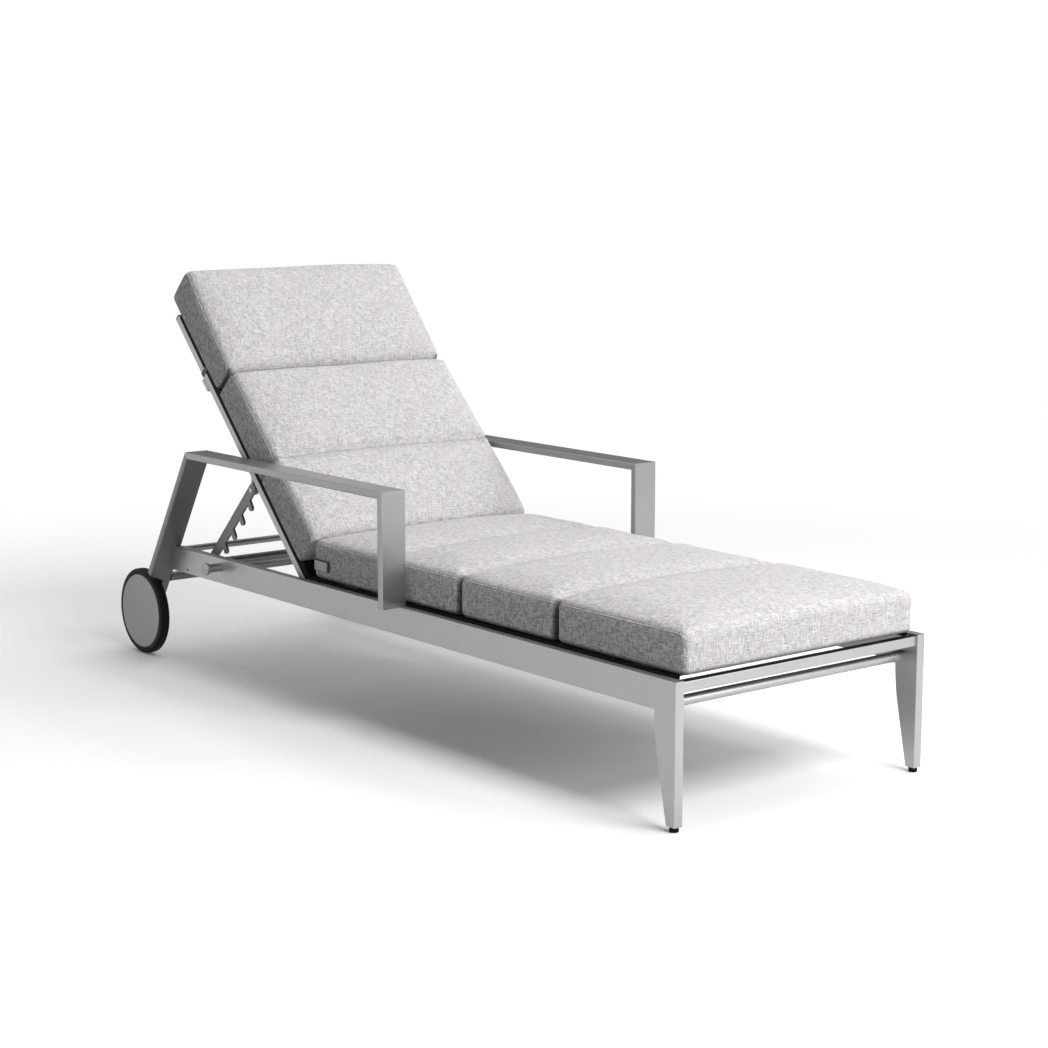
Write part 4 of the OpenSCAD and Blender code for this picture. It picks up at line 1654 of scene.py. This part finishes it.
@dataclass
class PadStraps:
    """Webbing bands of the back pad, hooked round the outside of each back tube.

    Attributes:
        placing: The back's own frame.
        band: Their thickness.
        bend: Radius of their two bends.
        steps: Steps around a bend.
        rim: How wide the softened rim is, and how deep.
    """

    placing: Placing
    band: float = 0.0013
    bend: float = 0.004
    steps: int = 6
    rim: Pair = (0.0006, 0.0005)

    def path(self, inner: float, low: Grid, high: Grid) -> Grid:
        """The band's outer line, across and through the back.

        Args:
            inner: Where both its ends lie, across.
            low: The CAD solid's lowest corner.
            high: Its highest corner.

        Returns:
            The line's points.
        """
        turns = (((high[0], low[2]), (-1, 0), (0, 1)), ((high[0], high[2]), (0, -1), (-1, 0)))
        line = [(inner, low[2])]
        for (cx, cz), (ux, uz), (vx, vz) in turns:
            for k in range(self.steps + 1):
                a = math.pi / 2 * k / self.steps
                into, out = self.bend * (1 - math.sin(a)), self.bend * (1 - math.cos(a))
                line.append((cx + ux * into + vx * out, cz + uz * into + vz * out))
        return np.array([*line, (inner, high[2])])

    def build(self, nodes: Nodes, wardrobe: Wardrobe) -> bpy.types.Object:
        """Makes both straps as one piece.

        Args:
            nodes: The CAD nodes by name.
            wardrobe: The finishes.

        Returns:
            The straps.
        """
        low, high = self.placing.box(nodes["pad_straps"])
        outer = self.path(self.placing.box(nodes["back_tube_left"])[0][0], low, high)
        ahead = np.gradient(outer, axis=0)
        ahead /= np.maximum(np.linalg.norm(ahead, axis=1, keepdims=True), 1e-9)
        inside = outer + self.band * np.stack([-ahead[:, 1], ahead[:, 0]], 1)
        steps = np.linalg.norm(np.diff(outer, axis=0), axis=1)
        gone = np.concatenate([[0], np.cumsum(steps)])
        wide, deep = self.rim
        rows = [(low[1], deep), (low[1] + wide, 0.0), (high[1] - wide, 0.0), (high[1], deep)]
        skin = []
        for face, other, order in ((outer, inside, rows), (inside, outer, rows[::-1])):
            for y, inset in order:
                line = face + (other - face) * inset / self.band
                skin.append(np.stack([line[:, 0], 0 * line[:, 0] + y, line[:, 1]], 1))
        points, faces = mirrored(np.stack(skin, 1), Side.RIGHT)
        along = np.tile(np.repeat(gone, len(skin)), len(Side))
        maps = {"cloth": by_corner(np.stack([points[:, 1], along], 1), faces)}
        tape = wardrobe.get("strap_webbing")
        obj = add_mesh("pad_strap_bands", self.placing.to_part(points), faces, tape, maps)
        obj.data.polygons.foreach_set("use_smooth", [False] * len(obj.data.polygons))
        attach(obj, "back")
        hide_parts("pad_straps")
        return obj


@dataclass
class SewnTag:
    """Blank woven tag on the seat cushion's right side, its free end standing off and its other end
    turning round the cushion's end.

    Attributes:
        stand: How far its free end stands off.
        thick: Its thickness.
        lift: How far it lies off the solid's outer face.
        wrap: How far it runs on round the cushion's end.
        corner: Radius of that turn.
        curl: How uneven its free end is, and the rate of its wave.
        ripple: The height and the rate of the wave along it.
        cuts: Points from its lower to its upper edge, and along it.
    """

    stand: float = 0.0030
    thick: float = 0.0009
    lift: float = 0.0034
    wrap: float = 0.010
    corner: float = 0.014
    curl: Pair = (0.15, 200.0)
    ripple: Pair = (0.0004, 190.0)
    cuts: Tuple[int, int] = (13, 43)

    def build(self, wardrobe: Wardrobe) -> bpy.types.Object:
        """Makes the tag.

        Args:
            wardrobe: The finishes.

        Returns:
            The tag.
        """
        low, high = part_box("fabric_tag")
        last = high.y + self.wrap
        zs, ys = np.linspace(low.z, high.z, self.cuts[0]), np.linspace(low.y, last, self.cuts[1])
        z, y = np.meshgrid(zs, ys, indexing="ij")
        t = (y - low.y) / (last - low.y)
        uneven = 1 + self.curl[0] * np.sin((z - low.z) * self.curl[1])
        loose = self.stand * np.power(1 - t, 1.6) * uneven
        bend = np.clip(y - (last - self.corner), 0, self.corner * 0.99)
        turn = self.corner - np.sqrt(self.corner**2 - bend**2)
        out = high.x - self.lift - loose - self.ripple[0] * np.sin(y * self.ripple[1]) + turn
        face = np.stack([out, y, z], -1)
        points, faces = wrap_sheet(face, face + (self.thick, 0, 0))
        flat = np.stack([(z - low.z).ravel(), (y - low.y).ravel()], 1)
        maps = {"cloth": by_corner(np.concatenate([flat, flat]), faces)}
        obj = add_mesh("sewn_tag", points, faces, wardrobe.get("tag_fabric"), maps)
        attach(obj, "frame")
        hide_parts("fabric_tag")
        return obj


# ---- metal, wheels ----


@dataclass
class Metalwork:
    """Gives every CAD node that stays its finish, and soft edges to the cut sections.

    Attributes:
        edge: Width of the soft edge.
        sharp: The angle, in degrees, from which an edge is softened.
        cut_slots: The slots whose sections are cut.
        own: Nodes whose finish is not their slot's.
    """

    edge: float = 0.0013
    sharp: float = 40.0
    cut_slots: Tuple[str, ...] = ("frame_silver", "black_trim")
    own: Dict[str, str] = field(
        default_factory=lambda: {
            "frame_screws": "black_trim",
            # The crossbar's coat carries painted top shade; the arms, posts and the parts under the
            # lounger take darker copies of the frame coat, painted shade.
            "foot_crossbar": "strip_silver",
            "comb_cross_tube": "under_silver",
            "rear_cross_tube": "under_silver",
            **{side.of(part): "arm_silver" for side in Side for part in ("armrest", "arm_post")},
            **{side.of(part): "under_silver" for side in Side for part in ("rear_leg", "ratchet_comb")},
        }
    )

    def dress(self, frame: Dict[str, Any], wardrobe: Wardrobe) -> int:
        """Dresses the nodes.

        Args:
            frame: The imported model.
            wardrobe: The finishes.

        Returns:
            How many nodes were dressed.
        """
        slots = {p["node"]: p["material_slot"] for p in frame["record"]["subparts"]}
        for name, obj in frame["nodes"].items():
            slot = slots[name]
            obj.data.materials.clear()
            obj.data.materials.append(wardrobe.get(self.own.get(name, slot)))
            if slot in self.cut_slots:
                bevel = obj.modifiers.new("soft_edge", "BEVEL")
                bevel.width = self.edge
                bevel.segments = 2
                bevel.limit_method = "ANGLE"
                bevel.angle_limit = math.radians(self.sharp)
                bevel.harden_normals = True
        return len(frame["nodes"])


# ---- stage ----


@dataclass(frozen=True)
class Lamp:
    """A soft square lamp: its name, its place, its side and its power in watts."""

    name: str
    at: Triple
    size: float
    power: float


@dataclass
class Studio:
    """Pale floor, white surround, soft lamps and the camera.

    Attributes:
        eye: The camera's place.
        azimuth: Its turn from straight ahead, in degrees.
        elevation: How far it looks down, in degrees.
        lens: Its focal length, in millimetres.
        sensor: Its sensor's width, in millimetres.
        focus: What the lamps face.
        lamps: The lamps.
        dim: The direction in which metal mirrors a darker surround, and how much darker.
        glows: The sides that the surround lights from, and how strongly.
        floor_half: Half the floor's side.
    """

    eye: Triple = (-2.880, -3.7911, 1.1896)
    azimuth: float = -38.4
    elevation: float = 9.4
    lens: float = 74.57
    sensor: float = 36.0
    focus: Triple = (0.0, 0.0, 0.3)
    lamps: Tuple[Lamp, ...] = (
        Lamp("key", (0.0, -4.0, 4.0), 2.0, 150.0),
        Lamp("edge", (2.4, -0.8, 3.6), 0.6, 14.0),
        Lamp("low_front", (1.2, -3.6, 1.2), 1.2, 42.0),
        Lamp("overhead", (0.0, 0.0, 4.5), 2.5, 30.0),
    )
    dim: Tuple[Triple, float] = ((0.62, 0.77, 0.16), 0.8)
    glows: Tuple[Tuple[Triple, float], ...] = (((1.0, 0.0, 0.0), 1.22), ((0.0, 1.0, 0.0), 0.38))
    floor_half: float = 14.0

    @staticmethod
    def aim(name: str, data: bpy.types.ID, at: Triple, look: Vector) -> bpy.types.Object:
        """Adds a camera or a lamp that looks one way.

        Args:
            name: Its name.
            data: Its camera or light.
            at: Its place.
            look: The direction in which it looks.

        Returns:
            The object.
        """
        obj = bpy.data.objects.new(name, data)
        bpy.context.scene.collection.objects.link(obj)
        turned = look.to_track_quat("-Z", "Y").to_matrix().to_4x4()
        obj.matrix_world = Matrix.Translation(at) @ turned
        return obj

    def camera(self) -> None:
        """Adds the camera and makes it the scene's."""
        data = bpy.data.cameras.new("view")
        data.lens = self.lens
        data.sensor_width = self.sensor
        a, e = math.radians(self.azimuth), math.radians(self.elevation)
        look = Vector((-math.sin(a) * math.cos(e), math.cos(a) * math.cos(e), -math.sin(e)))
        bpy.context.scene.camera = self.aim("view", data, self.eye, look)

    def light(self, lamp: Lamp) -> None:
        """Adds a lamp that faces the lounger.

        Args:
            lamp: The lamp.
        """
        data = bpy.data.lights.new(lamp.name, "AREA")
        data.shape = "SQUARE"
        data.size = lamp.size
        data.energy = lamp.power
        self.aim(lamp.name, data, lamp.at, Vector(self.focus) - Vector(lamp.at))

    def world(self) -> None:
        """White where it is seen or mirrored; elsewhere a soft glow from the sides named."""
        b = Bench("surround", True)
        way = b.node("ShaderNodeTexCoord", None, None, "Generated")
        camera, glossy, through = (b.ray(kind) for kind in Ray)
        behind, darker = self.dim
        shown = 1 - b.facing(way, behind).ease(0.5, 1.0) * glossy * darker
        white = b.node("ShaderNodeBackground", None, {0: WHITE, 1: shown})
        glow: Number = 0.0
        for towards, strength in self.glows:
            glow = b.facing(way, towards).ease(-0.4, 1.0) * strength + glow
        sky = b.node("ShaderNodeBackground", None, {0: WHITE, 1: glow})
        seen = camera.most(glossy).most(through)
        b.finish(b.node("ShaderNodeMixShader", None, {0: seen, 1: sky, 2: white}))
        bpy.context.scene.world = b.material

    def floor(self) -> None:
        """Adds the floor."""
        h = self.floor_half
        points = np.array([[-h, -h, 0], [h, -h, 0], [h, h, 0], [-h, h, 0]], float)
        add_mesh("stage_floor", points, [(0, 1, 2, 3)], StageFloor().make())

    def build(self) -> None:
        """Sets the stage."""
        bpy.context.scene.view_settings.view_transform = "Standard"
        self.camera()
        self.world()
        self.floor()
        for lamp in self.lamps:
            self.light(lamp)


def cushions(seat: Placing, back: Placing) -> List[Cushion]:
    """The three cushions, from the foot to the head.

    Args:
        seat: The deck's own frame.
        back: The back's own frame.

    Returns:
        The cushions.
    """
    return [
        Cushion(
            name="seat_cushion",
            body="frame",
            nodes=("seat_pad_foot", "seat_pad_calf", "seat_pad_thigh", "seat_pad_hip"),
            placing=seat,
            seam_height=(0.084, 0.084),
            crown=0.022,
            low_r=0.016,
            first_r=0.024,
            last_r=0.016,
            spare=(0.0, -0.0047),
        ),
        Cushion(
            name="back_cushion",
            body="back",
            nodes=("back_pad_lower", "back_pad_middle"),
            placing=back,
            seam_height=(0.092, 0.092),
            crown=0.020,
            low_r=0.014,
            first_r=0.030,
            last_r=0.026,
            channel=0.017,
            channel_half=0.034,
            groove=0.006,
            slit=0.0,
            shoulder=0.020,
            crease=0.30,
            spare=(-0.0047, 0.004),
            meets_end=True,
        ),
        Cushion(
            name="head_cushion",
            body="back",
            nodes=("back_pad_head",),
            placing=back,
            seam_height=(0.084, 0.106),
            crown=0.020,
            low_r=0.024,
            first_r=0.028,
            last_r=0.026,
            shoulder=0.022,
            meets_start=True,
        ),
    ]


def main() -> None:
    """Builds the lounger's pieces in order."""
    logging.basicConfig(level=logging.INFO, format="%(message)s")
    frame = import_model()
    nodes = frame["nodes"]
    joints = {joint["name"]: joint for joint in frame["record"]["behaviour"]["joints"]}
    _, hinge_y, hinge_z = joints["back_recline"]["pos_m"]
    seat, back = Placing((0.0, 0.0)), Placing((hinge_y, hinge_z), BACK_LEAN)
    wardrobe = Wardrobe()

    Studio().build()
    LOG.info("stage set")
    LOG.info("%d nodes dressed", Metalwork().dress(frame, wardrobe))

    pieces = [cushion.build(nodes, wardrobe, 11 + k) for k, cushion in enumerate(cushions(seat, back))]
    hems = SlingHems().build(nodes, wardrobe)
    back_sling = Sling("back_sling_cloth", "back", "back_sling", back, ("sling_rails",))
    seat_sling = Sling(
        name="seat_sling_cloth",
        body="frame",
        node="seat_sling",
        placing=seat,
        rests_on=("deck_slats",),
        level=0.90,
        tuck=0.007,
        sag=0.002,
        waists=(0.040, 0.006),
    )
    pieces += [
        hems,
        back_sling.build(nodes, wardrobe),
        seat_sling.build(nodes, wardrobe, (hems,)),
        PadStraps(back).build(nodes, wardrobe),
        SewnTag().build(wardrobe),
    ]
    for piece in pieces:
        LOG.info("%s: %d faces", piece.name, len(piece.data.polygons))


if __name__ == "__main__":
    main()
